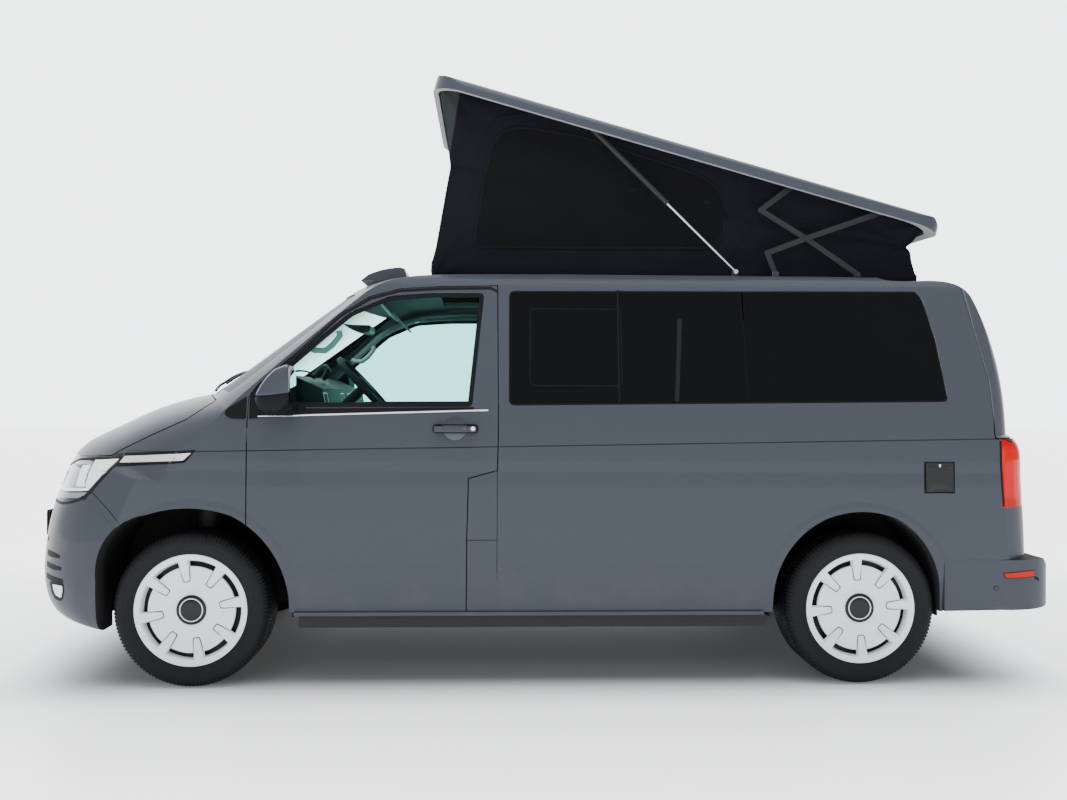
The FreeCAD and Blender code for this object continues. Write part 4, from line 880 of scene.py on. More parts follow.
# Front bumper and grille
# Three dark slots cross the bumper's intake at each side over a bright corner piece in a black frame. Between
# them sits a blank number plate, and the grille above has two bright bars; its middle is left bare.
front_skin = looking(skin_of("front_bumper", "grille", "headlamps", "bonnet"), "front")
for side, hand in DOORS.items():
    place = looking(skin_of("front_bumper", "grille"), side)
    corner = places(
        (-701, 436), (-671, 446), (-594, 447), (-590, 415), (-603, 372), (-618, 362), (-660, 364), (-684, 386),
    )
    light = places((-668, 432), (-597, 436), (-595, 416), (-607, 380), (-645, 386), (-659, 403))
    parts = [
        plate("intake_corner_" + hand, softened(corner, 0.008), place, 0.002, seal_rubber, 0.02),
        plate("intake_bright_" + hand, softened(light, 0.006), place, 0.0045, bright_trim, 0.02),
    ]
    for k, slot_line in enumerate(
        (
            places((-735, 577), (-672, 577), (-625, 569), (-622, 555), (-673, 551), (-735, 550)),
            places((-735, 524), (-670, 522), (-611, 517), (-608, 503), (-664, 498), (-735, 499)),
            places((-735, 470), (-662, 467), (-599, 466), (-596, 449), (-657, 444), (-735, 445)),
        )
    ):
        edge = softened(slot_line, 0.004)
        parts.append(plate("intake_slot_%d_%s" % (k, hand), edge, place, 0.0015, seal_rubber, 0.02))
    shut = places((-462, 862), (-430, 842), (-398, 818), (-358, 784), (-322, 748), (-290, 714), (-272, 694))
    shut = spread(shut, 0.02, False)
    wing_skin = looking(skin_of("front_bumper", "front_wings", "headlamps"), side)
    parts.append(seal("bumper_shut_" + hand, shut, wing_skin, 0.0035, 0.0012, seal_rubber, False))
    on_van(*parts)
for z in (0.869, 0.919):
    line = spread([(-0.470, z), (0.470, z)], 0.03, False)
    bar = seal("grille_bar_%d" % round(z * 1000), line, front_skin, -0.006, 0.004, bright_trim, False)
    on_van(bar, slot="grille_black")
plate_finish = Finish("blank_plate")
plate_paint = plate_finish.coat(
    Base_Color=plate_finish.mix(plate_finish.noise(30, 3) * 0.4, (0.80, 0.81, 0.80), (0.66, 0.67, 0.67)),
    Roughness=0.3 + 0.1 * plate_finish.noise(80, 2),
)


def blank_plate(name, z, x, turn, body):
    """A pressed aluminium number plate with nothing on it, in a black holder."""

    def at_depth(deep):
        return lambda y, height, lift: Vector((x + turn * (deep + lift), y, height))

    def oblong(half, tall, radius):
        return softened([(-half, z - tall), (half, z - tall), (half, z + tall), (-half, z + tall)], radius)

    on_van(
        plate(name + "_holder", oblong(0.268, 0.063, 0.010), at_depth(0.0), 0.003, seal_rubber, 0.1, 0.012),
        plate(name + "_face", oblong(0.260, 0.055, 0.010), at_depth(0.002), 0.003, plate_paint, 0.1, 0.012),
        seal(name + "_rim", oblong(0.256, 0.051, 0.008), at_depth(0.005), 0.004, 0.0012, seal_rubber),
        body=body,
    )


foremost = min(front_skin(y / 100, 0.6 + z / 100, 0).x for y in range(-24, 25, 4) for z in range(0, 12))
blank_plate("front_plate", 0.655, foremost + 0.004, -1, "van")
for k, y in enumerate((-0.62, -0.30, 0.30, 0.62)):
    ring = circle(y, 0.620, 0.011, 0.011, 18)
    on_van(
        plate("front_sensor_%d" % k, ring, front_skin, 0.0012, body_paint, 0.01),
        seal("front_sensor_ring_%d" % k, ring, front_skin, 0.002, 0.0018, seal_rubber),
    )

# Wipers
# Two thin black arms pivot in the cowl and carry rubber blades that rest on the windscreen. The rear wiper is
# made with the tailgate.
glass_front = looking(skin_of("windscreen", "screen_frame", "bonnet"), "front")
for k, (pivot, reach) in enumerate((((-0.48, 1.312), 0.60), ((0.28, 1.338), 0.56))):
    y0, z0 = pivot
    arm = [
        glass_front(
            y0 + reach * s * 0.55,
            z0 + 0.10 * math.sin(s * 1.6) * (0.4 + 0.6 * s),
            0.010 + 0.012 * math.sin(s * math.pi),
        )
        for s in [i / 12 for i in range(13)]
    ]
    blade = [
        glass_front(y0 + 0.02 + reach * s, z0 + 0.035 + 0.055 * math.sin(s * math.pi) + 0.02 * s, 0.009)
        for s in [i / 20 for i in range(21)]
    ]
    on_van(
        tube("wiper_arm_%d" % k, arm, 0.0065, black_plastic),
        tube("wiper_blade_%d" % k, blade, 0.0055, seal_rubber),
    )


# Tail lamps
# Upright red lenses in the rear corners with moulded ribs inside and a clear reversing window low down; painted
# glints lighten the red, and a faint red glow is painted light, the lamps being off. A black line runs along
# each lens's top and front edge.
tail = Finish("lamp_red")
tail_height = tail.axis(2)
ribs = tail.node("ShaderNodeTexWave", {"bands_direction": "Z"}, {"Vector": tail.place, "Scale": 30.0})
glints = tail.noise(26, 3, (1, 1, 0.3)).ramp(0.55, 0.72)
shade = tail_height.ramp(0.83, 0.86) * (1 - tail_height.ramp(1.06, 1.10))
# The glints are painted highlights in the lens's colour, and the faint red glow is painted light.
tail_red = tail.coat(
    Base_Color=tail.mix(
        glints * 0.4 + ribs * 0.2,
        tail.mix(shade, (0.34, 0.0005, 0.001), (0.52, 0.0008, 0.0015)),
        (0.70, 0.008, 0.010),
    ),
    Roughness=0.06 + 0.05 * ribs,
    Specular_IOR_Level=0.05,
    Coat_Weight=0.10,
    Emission_Color=(1.0, 0.0, 0.002),
    Emission_Strength=0.05,
)
wear(tail_red, "tail_lamps")
rear_lamp_skin = looking(skin_of("tail_lamps"), "rear")
tail_side = {
    side: looking(skin_of("tail_lamps", "rear_corners", "body_side_left", "body_side_right"), side)
    for side in DOORS
}
for side, hand in DOORS.items():
    ring = softened(
        [(side * 0.800, 0.835), (side * 0.866, 0.835), (side * 0.858, 0.900), (side * 0.800, 0.900)][::side],
        0.008,
    )
    window = plate("reversing_window_" + hand, ring, rear_lamp_skin, 0.0012, reflector, 0.02)
    edge = spread(
        places((3740, 1121), (3632, 1121), (3632, 1085), (3633, 1000), (3638, 900), (3644, 808)), 0.02, False,
    )
    frame_line = seal("tail_frame_" + hand, edge, tail_side[side], 0.009, 0.0022, seal_rubber, False)
    on_van(window, frame_line, slot="lamp_red")

# Rear bumper
# The moulded bumper is painted like the body. Each corner has a red reflector in a black edge, a small black
# notch behind it and a round parking sensor; four more sensors sit in black rings across the back.
bumper_side = {side: looking(skin_of("rear_bumper"), side) for side in DOORS}
bumper_rear = looking(skin_of("rear_bumper", "tailgate", "rear_corners"), "rear")
glow = Finish("reflector_red")
cells = glow.node("ShaderNodeTexVoronoi", {}, {"Vector": glow.place, "Scale": 260.0})
reflector_red = glow.coat(
    Base_Color=glow.mix(cells, (0.40, 0.001, 0.002), (0.60, 0.004, 0.005)),
    Roughness=0.1 + 0.1 * cells,
    Specular_IOR_Level=0.05,
    Coat_Weight=0.15,
)
for side, hand in DOORS.items():
    wall = bumper_side[side]
    strip = places((3662, 484), (3764, 487), (3806, 492), (3800, 513), (3760, 514), (3652, 503))
    strip = softened(strip, 0.004)
    notch = places((3802, 489), (3830, 479), (3832, 464), (3808, 474))[::-1]
    on_van(
        plate("rear_reflector_" + hand, strip, wall, 0.0025, reflector_red, 0.02),
        seal("rear_reflector_edge_" + hand, spread(strip, 0.02), wall, -0.003, 0.002, seal_rubber),
        plate("side_sensor_" + hand, oval(3618, 437, 20, 20, 20), wall, 0.0012, body_paint, 0.01),
        seal("side_sensor_ring_" + hand, oval(3618, 437, 21, 21, 20), wall, 0.002, 0.002, seal_rubber),
        plate("rear_notch_" + hand, notch, wall, 0.0012, seal_rubber, 0.02),
    )
for k, y in enumerate((-0.56, -0.22, 0.22, 0.56)):
    ring = circle(y, 0.440, 0.010, 0.010, 18)
    on_van(seal("rear_sensor_ring_%d" % k, ring, bumper_rear, 0.002, 0.002, seal_rubber))

# Tailgate
# The blank number plate hangs under a bright strip. A rubber seal rings the glass, a short wiper rests across
# it, and the third stop lamp sits above it.
gate_skin = looking(skin_of("tailgate", "tailgate_glass"), "rear")
plate_x = FRONT + 3.858
blank_plate("rear_plate", 0.830, plate_x, 1, "tailgate_body")
strip_line = softened([(-0.30, 0.915), (0.30, 0.915), (0.30, 0.938), (-0.30, 0.938)], 0.006)
glass_line = softened([(-0.720, 1.150), (0.720, 1.150), (0.660, 1.768), (-0.660, 1.768)], 0.060)
stop = softened([(-0.15, 1.790), (0.15, 1.790), (0.14, 1.812), (-0.14, 1.812)], 0.006)
wiper = [
    gate_skin(0.02 + 0.40 * s, 1.175 + 0.03 * math.sin(s * math.pi) + 0.02 * s, 0.010)
    for s in [i / 14 for i in range(15)]
]
gate_parts = [
    plate("gate_strip", strip_line, gate_skin, 0.004, bright_trim, 0.03),
    seal("gate_glass_seal", spread(glass_line, 0.03), gate_skin, 0.012, 0.002, seal_rubber),
    plate("stop_lamp", stop, gate_skin, 0.004, reflector_red, 0.03),
    tube("rear_wiper", wiper, 0.006, black_plastic),
    plate("rear_wiper_cap", circle(0.02, 1.175, 0.022, 0.022, 20), gate_skin, 0.018, black_plastic, 0.02),
]
on_van(*gate_parts, body="tailgate_body")


# Wheels
# Steel wheels under full silver covers, clipped on: eight wedge fingers join the dished rim to a flat disc,
# with a dark strip round each finger's tip as a painted shadow, and the black steel shows in the slots between
# them. The gloss black cap in the middle is bare.
HUB_HEIGHT = 0.3435
WHEEL_Y = 0.814  # the wheels' middle plane from the van's
FINGERS = 8
silver = Finish("wheel_silver")
brushed = silver.noise(240, 2)
grime = silver.noise(30, 3).ramp(0.5, 0.8)
wheel_height = (silver.axis(2) - HUB_HEIGHT) * (silver.axis(2) - HUB_HEIGHT)
ahead_of = (silver.axis(0) - FRONT) * (silver.axis(0) - FRONT)
behind_of = (silver.axis(0) - REAR) * (silver.axis(0) - REAR)
from_hub = (ahead_of.math("MINIMUM", behind_of) + wheel_height) ** 0.5
rust = (1 - from_hub.ramp(0.062, 0.082)) * silver.noise(22, 3)
wheel_silver = silver.coat(
    Base_Color=silver.mix(
        rust * 0.8, silver.mix(grime * 0.25, (0.78, 0.80, 0.83), (0.58, 0.58, 0.58)), (0.55, 0.47, 0.38),
    ),
    Metallic=0.15,
    Roughness=0.38 + 0.06 * brushed + 0.15 * grime,
    Coat_Weight=0.2,
    Normal=silver.bump(brushed, 0.00002),
)
rubber = Finish("tyre_rubber")
dusty = rubber.noise(18, 4).ramp(0.45, 0.8)
tyre_rubber = rubber.coat(
    Base_Color=rubber.mix(dusty * 0.4, (0.0055, 0.006, 0.0075), (0.020, 0.020, 0.020)),
    Roughness=0.62 + 0.2 * dusty,
    Specular_IOR_Level=0.2,
    Normal=rubber.bump(rubber.noise(500, 2), 0.0002),
)


def turned(profile, steps, relief=None):
    """A ring of (across, radius) corners turned about the axle; relief changes a corner by its turn."""
    rows = []
    for i in range(steps):
        angle = 2 * math.pi * i / steps
        corners = [relief(i, across, radius) if relief else (across, radius) for across, radius in profile]
        cos, sin = math.cos(angle), math.sin(angle)
        rows.append([(radius * sin, across, radius * cos) for across, radius in corners])
    return lofted(rows, ring=True)


def joined(parts):
    """Several (points, faces) as one."""
    points = []
    faces = []
    for part_points, part_faces in parts:
        start = len(points)
        points += part_points
        faces += [tuple(start + k for k in face) for face in part_faces]
    return points, faces


FINGER = [
    (0.1275, 0.0075, 0.0995), (0.1290, 0.0105, 0.1010), (0.1330, 0.0128, 0.1022), (0.150, 0.0148, 0.1050),
    (0.192, 0.0182, 0.1120), (0.2230, 0.0210, 0.1175), (0.2440, 0.0228, 0.1192),
]


def at_turn(turn, sideways, across, radius):
    """A point of the cover by its distance from a spoke line, the line being turned about the hub."""
    cos = math.cos(turn)
    sin = math.sin(turn)
    return (sideways * cos + radius * sin, across, radius * cos - sideways * sin)


def wedge(turn):
    """One finger of the cover, rising from the disc at its round tip to the rim's height."""
    rows = []
    for radius, half, top in FINGER:
        corners = ((-1.25, 0.022), (-1.04, 0.0030), (-0.93, 0), (0.93, 0), (1.04, 0.0030), (1.25, 0.022))
        rows.append([at_turn(turn, half * side, top - drop, radius) for side, drop in corners])
    points, faces = lofted(rows)
    faces.append((0, 1, 2, 3, 4, 5))
    return points, faces


def finger_shadow(turn):
    """A painted shadow in the disc round a finger's tip: a dark strip where the finger's shade falls."""
    inner = [(radius, half + 0.0005) for radius, half, _ in FINGER if radius < 0.191] + [(0.1905, 0.0184)]
    outer = [(0.1236, 0.0092), (0.1252, 0.0138), (0.1312, 0.0170)] + [(r, h + 0.0042) for r, h in inner[3:]]
    strips = []
    for sign in (-1, 1):
        rows = [
            [at_turn(turn, sign * half, 0.0998, radius) for radius, half in pair]
            for pair in zip(inner, outer)
        ]
        strips.append(lofted(rows))
    points, faces = joined(strips)
    middle = len(inner) * 2
    faces.append((0, 1, middle + 1, middle))
    return points, faces


RIM = [
    (0.078, 0.2143), (0.084, 0.2155), (0.100, 0.2185), (0.110, 0.2208), (0.1150, 0.2226), (0.1168, 0.2245),
    (0.1180, 0.232), (0.1188, 0.239), (0.1187, 0.2445), (0.1180, 0.2475), (0.1160, 0.2485), (0.112, 0.2480),
]
DISC = [
    (0.086, 0.1930), (0.0960, 0.1928), (0.0985, 0.1910), (0.0990, 0.186), (0.0992, 0.15), (0.0998, 0.10),
    (0.1008, 0.078), (0.1030, 0.069), (0.1035, 0.0665),
]
BARREL = [(0.100, 0.236), (0.080, 0.222), (0.02, 0.216), (-0.09, 0.226), (-0.1055, 0.2425)]
STEEL = [(0.064, 0.228), (0.060, 0.20), (0.066, 0.15), (0.075, 0.08), (0.095, 0.05), (0.095, 0.0)]
CAP = [
    (0.1035, 0.0665), (0.1070, 0.0650), (0.1080, 0.0625), (0.1080, 0.0530), (0.1062, 0.0520), (0.1062, 0.0485),
    (0.1078, 0.0475), (0.1090, 0.040), (0.1096, 0.020), (0.1097, 0.0),
]
CAP_RING = [
    (0.1055, 0.0525), (0.1086, 0.0520), (0.1092, 0.0508), (0.1092, 0.0492), (0.1086, 0.0481), (0.1055, 0.0478),
]

# Tyres
# All-season tyres on 17-inch rims: rounded sidewalls with fine rings, shoulder blocks cut every 17 mm, and
# four grooves round the tread.
TREAD = []
for across in (
    -0.088, -0.066, -0.0655, -0.059, -0.0585, -0.027, -0.0265, -0.018, -0.0175, 0.0175, 0.018, 0.0265, 0.027,
    0.0585, 0.059, 0.0655, 0.066, 0.088,
):
    groove = 0.059 <= abs(across) <= 0.0655 or 0.018 <= abs(across) <= 0.0265
    TREAD.append((across, 0.3365 if groove else 0.3434 - 0.02 * abs(across) ** 2))
SIDEWALL = [
    (0.112, 0.2445), (0.1165, 0.250), (0.1195, 0.256), (0.1205, 0.262), (0.1198, 0.2635), (0.1215, 0.265),
    (0.1245, 0.276), (0.1265, 0.290), (0.1262, 0.2915), (0.1270, 0.293), (0.1262, 0.303), (0.1235, 0.315),
    (0.1222, 0.3165), (0.1215, 0.318), (0.1165, 0.3275), (0.109, 0.3345), (0.102, 0.3385), (0.095, 0.3415),
]
TYRE = [(-a, r) for a, r in SIDEWALL] + TREAD + SIDEWALL[::-1]


def tread_relief(i, across, radius):
    """Cuts across the shoulders and fine slits in the ribs."""
    step = i % 4
    if abs(across) >= 0.066 and radius > 0.325:
        if step == 0:
            return across * (1 - 0.02 * (radius < 0.34)), radius - 0.0065
    elif 0.027 <= abs(across) <= 0.0585 and step == 2:
        return across, radius - 0.003
    return across, radius


for end, axle in (("front", FRONT), ("rear", REAR)):
    for hand, side in (("left", -1), ("right", 1)):
        body = "%s_wheel_%s_body" % (end, hand)
        start = math.radians(-9.5 if end == "front" else -4)
        spokes = [start + 2 * math.pi * i / FINGERS for i in range(FINGERS)]
        place = Vector((axle, side * WHEEL_Y, HUB_HEIGHT))

        def fitted(label, shape, material):
            points = [place + Vector((x, side * y, z)) for x, y, z in shape[0]]
            return solid("%s_%s_%s" % (end, label, hand), points, shape[1], material)

        cover_shapes = [turned(RIM, 96), turned(DISC, 96)] + [wedge(turn) for turn in spokes]
        cover = fitted("cover", joined(cover_shapes), wheel_silver)
        steel = fitted("steel", joined([turned(BARREL, 72), turned(STEEL, 72)]), black_plastic)
        cap = fitted("cap", turned(CAP, 64), gloss_black)
        ring = fitted("cap_ring", turned(CAP_RING, 64), bright_trim)
        # The dark strips round the fingers' tips are a painted shadow.
        joint = fitted("cover_joints", joined([finger_shadow(turn) for turn in spokes]), seal_rubber)
        tyre = fitted("tread", turned(TYRE, 504, tread_relief), tyre_rubber)
        on_van(cover, steel, cap, ring, joint, slot="wheel_silver", body=body)
        on_van(tyre, slot="tyre_rubber", body=body)
        for made in (cover, steel, cap, ring, joint):
            made.data.set_sharp_from_angle(angle=math.radians(32))
            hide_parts("%s_wheel_%s" % (end, hand))
        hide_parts("%s_tyre_%s" % (end, hand))


# Roof canvas
# The tent between the roof and its lifted shell: one wrap of dark coated fabric, held along the hatch and round
# the shell's lower edge, creased where it folds inwards, with window panels sewn into its sides. The facet at
# each front corner is coloured lighter, painted light where it catches the studio light.
def tent_cloth(name, dark, light, lit_gusset=None):
    """Coated cotton: a fine diagonal weave, cloudy colour and soft creases, nearly without gloss. The creases
    also darken and lighten the colour along with their relief, as painted shade.
    """
    cloth = Finish(name)
    weave = cloth.node(
        "ShaderNodeTexWave",
        {"bands_direction": "DIAGONAL"},
        {"Vector": cloth.place, "Scale": 420.0, "Distortion": 0.6},
    )
    cloudy = cloth.noise(5, 4)
    creases_and_shade = cloth.noise(11, 5, (1, 1, 0.35), 0.6)
    # The crease pattern also darkens and lightens the colour along with the relief: painted shade.
    tone = cloth.mix(cloudy * 0.6 + creases_and_shade * 0.4, dark, light)
    # The lighter front corner facet is painted light, standing for the light it catches.
    if lit_gusset:
        fold_x = FRONT + 1.170 + (cloth.axis(2) - 2.78) * 0.16
        share = (1 - (cloth.axis(0) - fold_x).ramp(-0.004, 0.004)) * cloth.axis(2).ramp(2.392, 2.408)
        tone = cloth.mix(share, tone, lit_gusset)
    return cloth.coat(
        Base_Color=tone,
        Roughness=0.78 + 0.12 * cloudy,
        Specular_IOR_Level=0.12,
        Normal=cloth.bump(weave * 0.3 + 2 * creases_and_shade + cloth.noise(60, 3), 0.0012),
    )


# The third colour is the lit front facet, painted light.
canvas = tent_cloth("canvas", (0.0030, 0.0034, 0.0052), (0.0085, 0.0095, 0.0135), (0.030, 0.034, 0.034))
window_cloth = tent_cloth("canvas_window", (0.0022, 0.0023, 0.0030), (0.0055, 0.0056, 0.0068))
TILT = math.radians(15.25)
SHELL = Vector((FRONT + 1.030, 0, 2.766))


def on_shell(x, z):
    """A point of the raised shell from its place along and above its lower edge, in the centre plane."""
    return SHELL + Vector((x * math.cos(TILT) + z * math.sin(TILT), 0, z * math.cos(TILT) - x * math.sin(TILT)))


top_front = on_shell(0.030, 0.040)
top_rear = on_shell(2.498, 0.040)
FRONT_FOLD = [(FRONT + 1.040, 1.853), (FRONT + 1.042, 1.94), (FRONT + 1.122, 2.401), (top_front.x, top_front.z)]
REAR_FOLD = [(FRONT + 3.390, 1.853), (FRONT + 3.388, 1.90), (FRONT + 3.352, 2.034), (top_rear.x, top_rear.z)]
SHARES = [0, 0.08, 0.56, 1]


def along_fold(fold, v):
    """A point of a fold line, v rising from 0 at the roof to 1 at the shell."""
    for i in range(3):
        if v <= SHARES[i + 1]:
            share = (v - SHARES[i]) / (SHARES[i + 1] - SHARES[i])
            return Vector(fold[i]).lerp(Vector(fold[i + 1]), share)
    return Vector(fold[3])


def canvas_sag(u, v, across):
    """How far the cloth lies inside its taut surface: the fold line, slack between its edges, and creases."""
    slack = 0.012 * math.sin(math.pi * min(1, max(0, u))) * math.sin(math.pi * v)
    fold = 0.010 * math.exp(-(((v - 0.56) / 0.05) ** 2))
    foot = 0.005 * math.exp(-((v / 0.06) ** 2)) * math.sin(38 * u + 5 * noise.noise((u * 9, across, 0)))
    if v < 0.10:
        foot -= 0.009 * math.sin(math.pi * v / 0.10)
    rays = 0.0
    for corner_u, corner_v, turn in ((0, 0.56, 1), (1, 0.56, -1), (0, 0.0, 1), (0, 1.0, 1), (1, 1.0, -1)):
        du = (u - corner_u) * 2.4
        dv = v - corner_v
        reach = math.hypot(du, dv)
        ripple = math.sin(9 * math.atan2(dv, du * turn) + 2.0 * corner_v)
        rays += 0.005 * math.exp(-reach / 0.35) * ripple * min(1, reach / 0.05)
    broad = 0.0045 * noise.noise((u * 7 + 3 * across, v * 5, 2.0))
    fine = 0.0022 * noise.noise((u * 26, v * 17, 5.0 + across))
    return slack + fold + foot + rays + (broad + fine)


HALF = 0.588  # half the tent's width


def canvas_point(t, v):
    """A point of the wrap: t runs once round, from 0 to 4 over the left side, rear, right side and front."""
    front = along_fold(FRONT_FOLD, v)
    back = along_fold(REAR_FOLD, v)
    panel = int(t) % 4
    u = t - int(t)
    edge = 0.5 - abs(u - 0.5)
    soft = 0.02 * math.exp(-edge / 0.012)
    if panel in (0, 2):
        share = u if panel == 0 else 1 - u
        x = front.x + (back.x - front.x) * share
        z = front.y + (back.y - front.y) * share
        sag = canvas_sag(share, v, panel)
        y = HALF - sag - soft * 0.4
        return Vector((x, -y if panel == 0 else y, z))
    side = u if panel == 1 else 1 - u
    y = -HALF + 2 * HALF * side
    column = back if panel == 1 else front
    sag = canvas_sag(side, v, panel + 5) + 0.012 * math.sin(math.pi * side) * math.sin(math.pi * v)
    return Vector((column.x - sag if panel == 1 else column.x + sag, y * (1 - soft * 0.2), column.y))


turns = [start + i / count for start, count in enumerate((150, 70, 150, 70)) for i in range(count)]
ROWS = 64
canvas_rows = [[canvas_point(t, k / ROWS) for t in turns] for k in range(ROWS + 1)]
tent = solid("canvas_wrap", *lofted(canvas_rows, around=True), canvas)


def canvas_at(x, z, side):
    """The cloth's place at a point of the side view, found from its folds."""
    low_v, high_v = 0.0, 1.0
    for _ in range(24):
        v = (low_v + high_v) / 2
        front = along_fold(FRONT_FOLD, v)
        back = along_fold(REAR_FOLD, v)
        share = (x - front.x) / (back.x - front.x)
        if front.y + (back.y - front.y) * share < z:
            low_v = v
        else:
            high_v = v
    t = share if side < 0 else 3 - share
    return canvas_point(t, v)


WINDOW = places(
    (1222, 2004), (2392, 2010), (2458, 2090), (2456, 2240), (2420, 2330), (2300, 2392), (1743, 2561),
    (1455, 2603), (1362, 2578), (1308, 2500), (1265, 2270),
)
FLAP_SEAM = places(
    (1250, 2420), (1290, 2560), (1352, 2630), (1502, 2656), (1840, 2618), (2300, 2450), (2440, 2390),
)
REAR_SEAM = places((2459, 1953), (2600, 2140), (2750, 2330))
canvas_parts = []
for side, hand in DOORS.items():

    def on_cloth(x, z, lift):
        return canvas_at(x, z, side) + Vector((0, side * lift, 0))

    pane = spread(softened(WINDOW, 0.05), 0.03)
    window = plate("canvas_window_" + hand, pane, on_cloth, 0.0022, window_cloth, 0.05)
    border = seal("canvas_border_" + hand, pane, on_cloth, 0.016, 0.0036, canvas, True, 0.0)
    canvas_parts += [window, border]
    for label, seam in (("canvas_flap_", FLAP_SEAM), ("canvas_rear_seam_", REAR_SEAM)):
        line = spread(seam, 0.04, False)
        canvas_parts.append(seal(label + hand, line, on_cloth, 0.012, 0.0026, canvas, False, 0.0))
for name, v, radius in (
    ("canvas_hem", 0.012, 0.011), ("canvas_top_hem", 0.985, 0.007), ("canvas_fold_hem", 0.56, 0.0030),
):
    route = [canvas_point(t, v) for t in turns]
    canvas_parts.append(tube(name, route, radius, canvas, True))
on_van(tent, *canvas_parts, slot="canvas")
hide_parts("roof_canvas")
for part in [tent] + canvas_parts:
    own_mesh(part)


# Roof linkage
# Flat steel bars painted satin black and riveted in layers, and gas struts with black tubes and bright rods.
# The solids from the CAD model only take these looks.
satin = moulded("satin_black", (0.014, 0.014, 0.015), 0.35, 500.0, 0.00005)
bright = Finish("bright_steel")
bright_steel = bright.coat(
    Base_Color=(0.62, 0.62, 0.62), Metallic=1.0, Roughness=0.22 + 0.1 * bright.noise(120, 3),
)
wear(satin, "lower_arms", "cross_arms", "top_links", "bottom_links", "strut_tubes")
wear(bright_steel, "strut_rods")


# Seats
# Two front seats and a rear bench in grey checked cloth over foam. Each pad is a rounded block, blown up by
# cloth simulation and drawn in along its sewn channels. The right front seat is the left one mirrored.
cloth = Finish("seat_cloth")
checks = cloth.node("ShaderNodeTexBrick", {}, {"Vector": cloth.place, "Scale": 90.0, "Mortar Size": 0.03}, 1)
threads = cloth.noise(900, 2)
seat_cloth = cloth.coat(
    Base_Color=cloth.mix(
        checks * 0.5 + 0.25 * cloth.noise(14, 4),
        (0.036, 0.037, 0.040),
        cloth.mix(threads, (0.050, 0.051, 0.055), (0.085, 0.086, 0.092)),
    ),
    Roughness=0.82 + 0.1 * cloth.noise(40, 2),
    Sheen_Weight=0.25,
    Normal=cloth.bump(threads, 0.0002, cloth.bump(checks, 0.0002)),
)
wear(seat_cloth, "front_seats", "rear_bench")


SEAT_Y = 0.4  # a front seat's middle from the van's
PUFF = 0.014  # how far the cloth may swell


def cushion(name, outline, middle, width, seams=(), swell=PUFF):
    """A pad from its side outline in metres, crowned across its width, puffed and sewn along its seams."""
    ring = spread(softened(outline, 0.035), 0.03)
    rows = []
    shares = [math.sin(math.pi * (k / 12 - 0.5)) for k in range(13)]
    centre = sum(ring, Vector((0, 0))) / len(ring)
    for share in shares:
        pull = 0.80 + 0.20 * math.sqrt(max(0.0, 1 - abs(share) ** 4))
        drawn = [centre + (p - centre) * pull for p in ring]
        rows.append([(p.x, middle + share * (width / 2 - 0.012), p.y) for p in drawn])
    count = len(ring)
    points, faces = lofted(rows, around=True)
    faces.append(tuple(range(count))[::-1])
    faces.append(tuple((len(rows) - 1) * count + i for i in range(count)))
    pad = solid(name, points, faces, seat_cloth)
    remesh = pad.modifiers.new("even", "REMESH")
    remesh.mode = "VOXEL"
    remesh.voxel_size = 0.010
    settle(pad)
    start = [v.co.copy() for v in pad.data.vertices]
    blown = pad.modifiers.new("foam", "CLOTH")
    blown.settings.use_pressure = True
    blown.settings.uniform_pressure_force = 4.0
    blown.settings.effector_weights.gravity = 0.0
    blown.settings.quality = 4
    for k in range(1, 13):
        bpy.context.scene.frame_set(k)
    settle(pad)
    bpy.context.scene.frame_set(1)
    for vert, was in zip(pad.data.vertices, start):
        moved = vert.co - was
        if moved.length > swell:
            vert.co = was + moved.normalized() * swell
    for first, last, depth in seams:
        a = Vector(first)
        b = Vector(last)
        for vert in pad.data.vertices:
            spot = Vector((vert.co.x, vert.co.z))
            share = max(0.0, min(1.0, (spot - a).dot(b - a) / (b - a).length_squared))
            gap = (spot - a.lerp(b, share)).length
            if gap < 0.03:
                inward = (centre - spot).normalized()
                push = depth * (1 - (gap / 0.03) ** 2) ** 2
                vert.co.x += inward.x * push
                vert.co.z += inward.y * push
    soft = pad.modifiers.new("soft", "SUBSURF")
    soft.levels = 1
    settle(pad)
    for face in pad.data.polygons:
        face.use_smooth = True
    return pad


def settle(made):
    """The piece's modifiers applied to its mesh."""
    mesh = bpy.data.meshes.new_from_object(made.evaluated_get(bpy.context.evaluated_depsgraph_get()))
    made.modifiers.clear()
    made.data = mesh


def profile(x, *pairs):
    """A seat's side outline from millimetres behind its own start."""
    return [(FRONT + (x + a) / 1000, b / 1000) for a, b in pairs]


pads = [
    cushion("seat_" + label, profile(840, *corners), -SEAT_Y, width, seams, swell)
    for label, corners, width, seams, swell in (
        (
            "cushion_left", ((12, 892), (455, 892), (458, 994), (230, 984), (14, 992)), 0.49,
            (((-0.60, 1.0), (-0.60, 0.9), 0.008),), PUFF,
        ),
        (
            "back_left", ((444, 1014), (548, 1012), (645, 1580), (600, 1592), (566, 1555)), 0.48,
            (((-0.20, 1.14), (-0.10, 1.14), 0.008), ((-0.14, 1.42), (-0.04, 1.42), 0.008)), PUFF,
        ),
        ("head_left", ((586, 1636), (648, 1628), (664, 1745), (636, 1756), (604, 1750)), 0.25, (), 0.008),
    )
]
for pad in pads[:]:
    twin = pad.data.copy()
    for vert in twin.vertices:
        vert.co.y = -vert.co.y
    twin.flip_normals()
    pads.append(placed(pad.name.replace("left", "right"), twin))
posts = []
for side, hand in DOORS.items():
    for k, offset in enumerate((-0.06, 0.06)):
        y = side * SEAT_Y + offset
        route = [(FRONT + 1.440, y, 1.56), (FRONT + 1.470, y, 1.66)]
        posts.append(tube("rest_post_%d_%s" % (k, hand), route, 0.006, bright_trim))
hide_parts("front_seats")
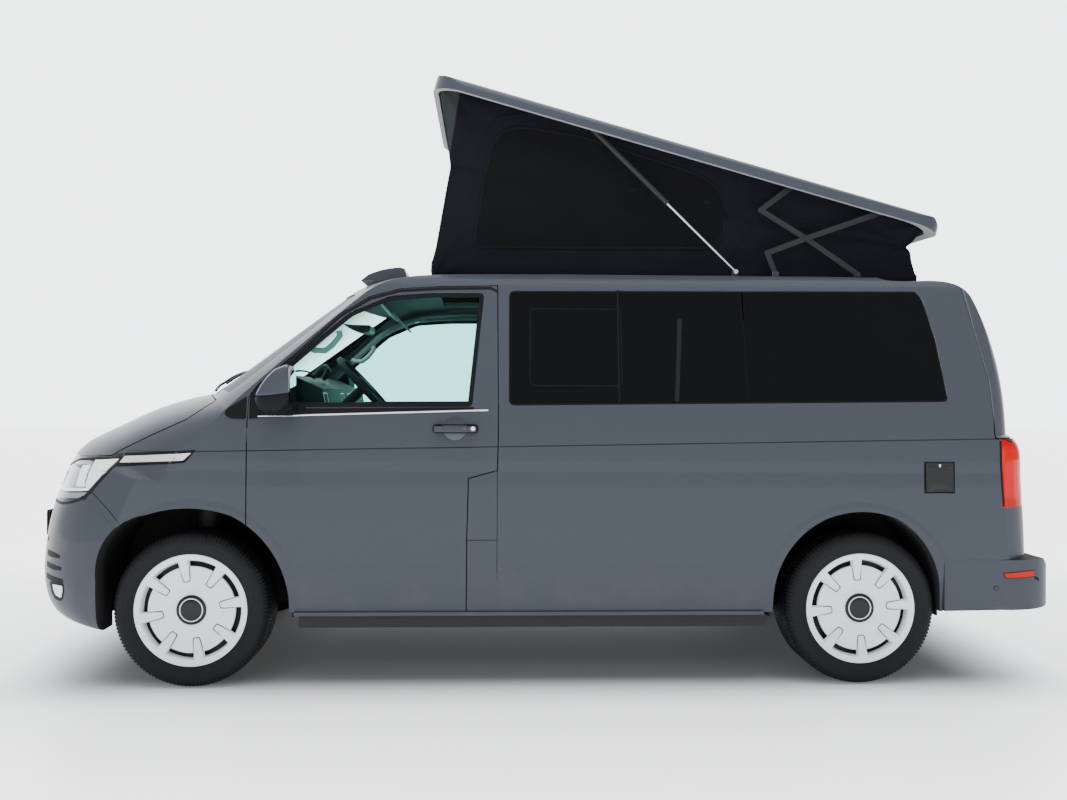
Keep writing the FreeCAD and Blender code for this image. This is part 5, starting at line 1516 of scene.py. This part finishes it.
on_van(*pads, *posts, slot="seat_cloth")
bench = [
    cushion(name, profile(2480, *corners), 0.0, 1.16, (seam,))
    for name, corners, seam in (
        (
            "bench_seat", ((14, 860), (560, 860), (560, 998), (14, 996)),
            ((1.20, 1.02), (1.20, 0.95), 0.008),
        ),
        (
            "bench_back", ((500, 1016), (590, 1012), (696, 1556), (640, 1568), (622, 1550)),
            ((1.46, 1.26), (1.58, 1.26), 0.008),
        ),
    )
]
box_ring = softened(profile(2480, (6, 562), (536, 562), (536, 852), (6, 852)), 0.012)
box_middle = sum(box_ring, Vector((0, 0))) / len(box_ring)
box_rows = []
for y, share in ((-0.585, 0.985), (-0.580, 1), (0.580, 1), (0.585, 0.985)):
    row = [box_middle + (p - box_middle) * share for p in box_ring]
    box_rows.append([(p.x, y, p.y) for p in row])
box_points, box_faces = lofted(box_rows, around=True)
box_faces += [tuple(range(len(box_ring)))[::-1], tuple(range(len(box_points) - len(box_ring), len(box_points)))]
bench_box = solid("bench_box", box_points, box_faces, cab_plastic, False)
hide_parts("rear_bench")
on_van(*bench, bench_box, slot="seat_cloth")

# Cab
# What is seen only through the glass: the moulded dash's instrument hood and bright vents, pale grab handles on
# the pillars, pale sun visors and the inside mirror.
pale = moulded("pale_lining", (0.60, 0.61, 0.61), 0.7, 500.0, 0.0002)
parts = []


def on_visor(y, reach, lift):
    """The visors hang forwards and down from their hinges under the roof."""
    return Vector((FRONT + 0.770 + reach * 0.62 - lift, y, 1.765 - reach * 0.66))


for side, hand in DOORS.items():
    grip = [
        (FRONT + x / 1000, side * 0.70, z / 1000)
        for x, z in ((612, 1600), (618, 1578), (584, 1534), (548, 1506), (500, 1508), (484, 1515))
    ]
    parts.append(tube("pillar_grip_" + hand, grip, 0.014, pale))
    inner, outer = side * 0.30, side * 0.60
    visor = softened([(inner, 0.0), (outer, 0.0), (outer, 0.14), (inner, 0.14)][::side], 0.02)
    parts.append(plate("sun_visor_" + hand, visor, on_visor, 0.012, pale, 0.1))
mirror_side = softened(
    places((545, 1675), (600, 1669), (690, 1668), (686, 1632), (640, 1630), (585, 1648))[::-1], 0.008,
)
for turn, label in ((-1, "near"), (1, "far")):

    def sideways(x, z, lift):
        return Vector((x, turn * lift, z))

    parts.append(plate("inside_mirror_" + label, mirror_side, sideways, 0.115, black_plastic, 0.1, 0.0))
HOOD = ((470, -560, 1385), (500, -520, 1428), (505, -400, 1440), (500, -280, 1428), (470, -240, 1385))
hood = [(FRONT + x / 1000, y / 1000, z / 1000) for x, y, z in HOOD]
parts.append(tube("instrument_hood", hood, 0.014, cab_plastic))
dash_skin = looking(skin_of("dashboard"), "rear")
for k, y in enumerate((-0.68, -0.12, 0.12, 0.68)):
    vent = softened([(y - 0.055, 1.25), (y + 0.055, 1.25), (y + 0.055, 1.31), (y - 0.055, 1.31)], 0.012)
    parts.append(seal("dash_vent_%d" % k, spread(vent, 0.02), dash_skin, 0.004, 0.003, bright_trim))
on_van(*parts, slot="cab_plastic")


bpy.context.view_layer.update()
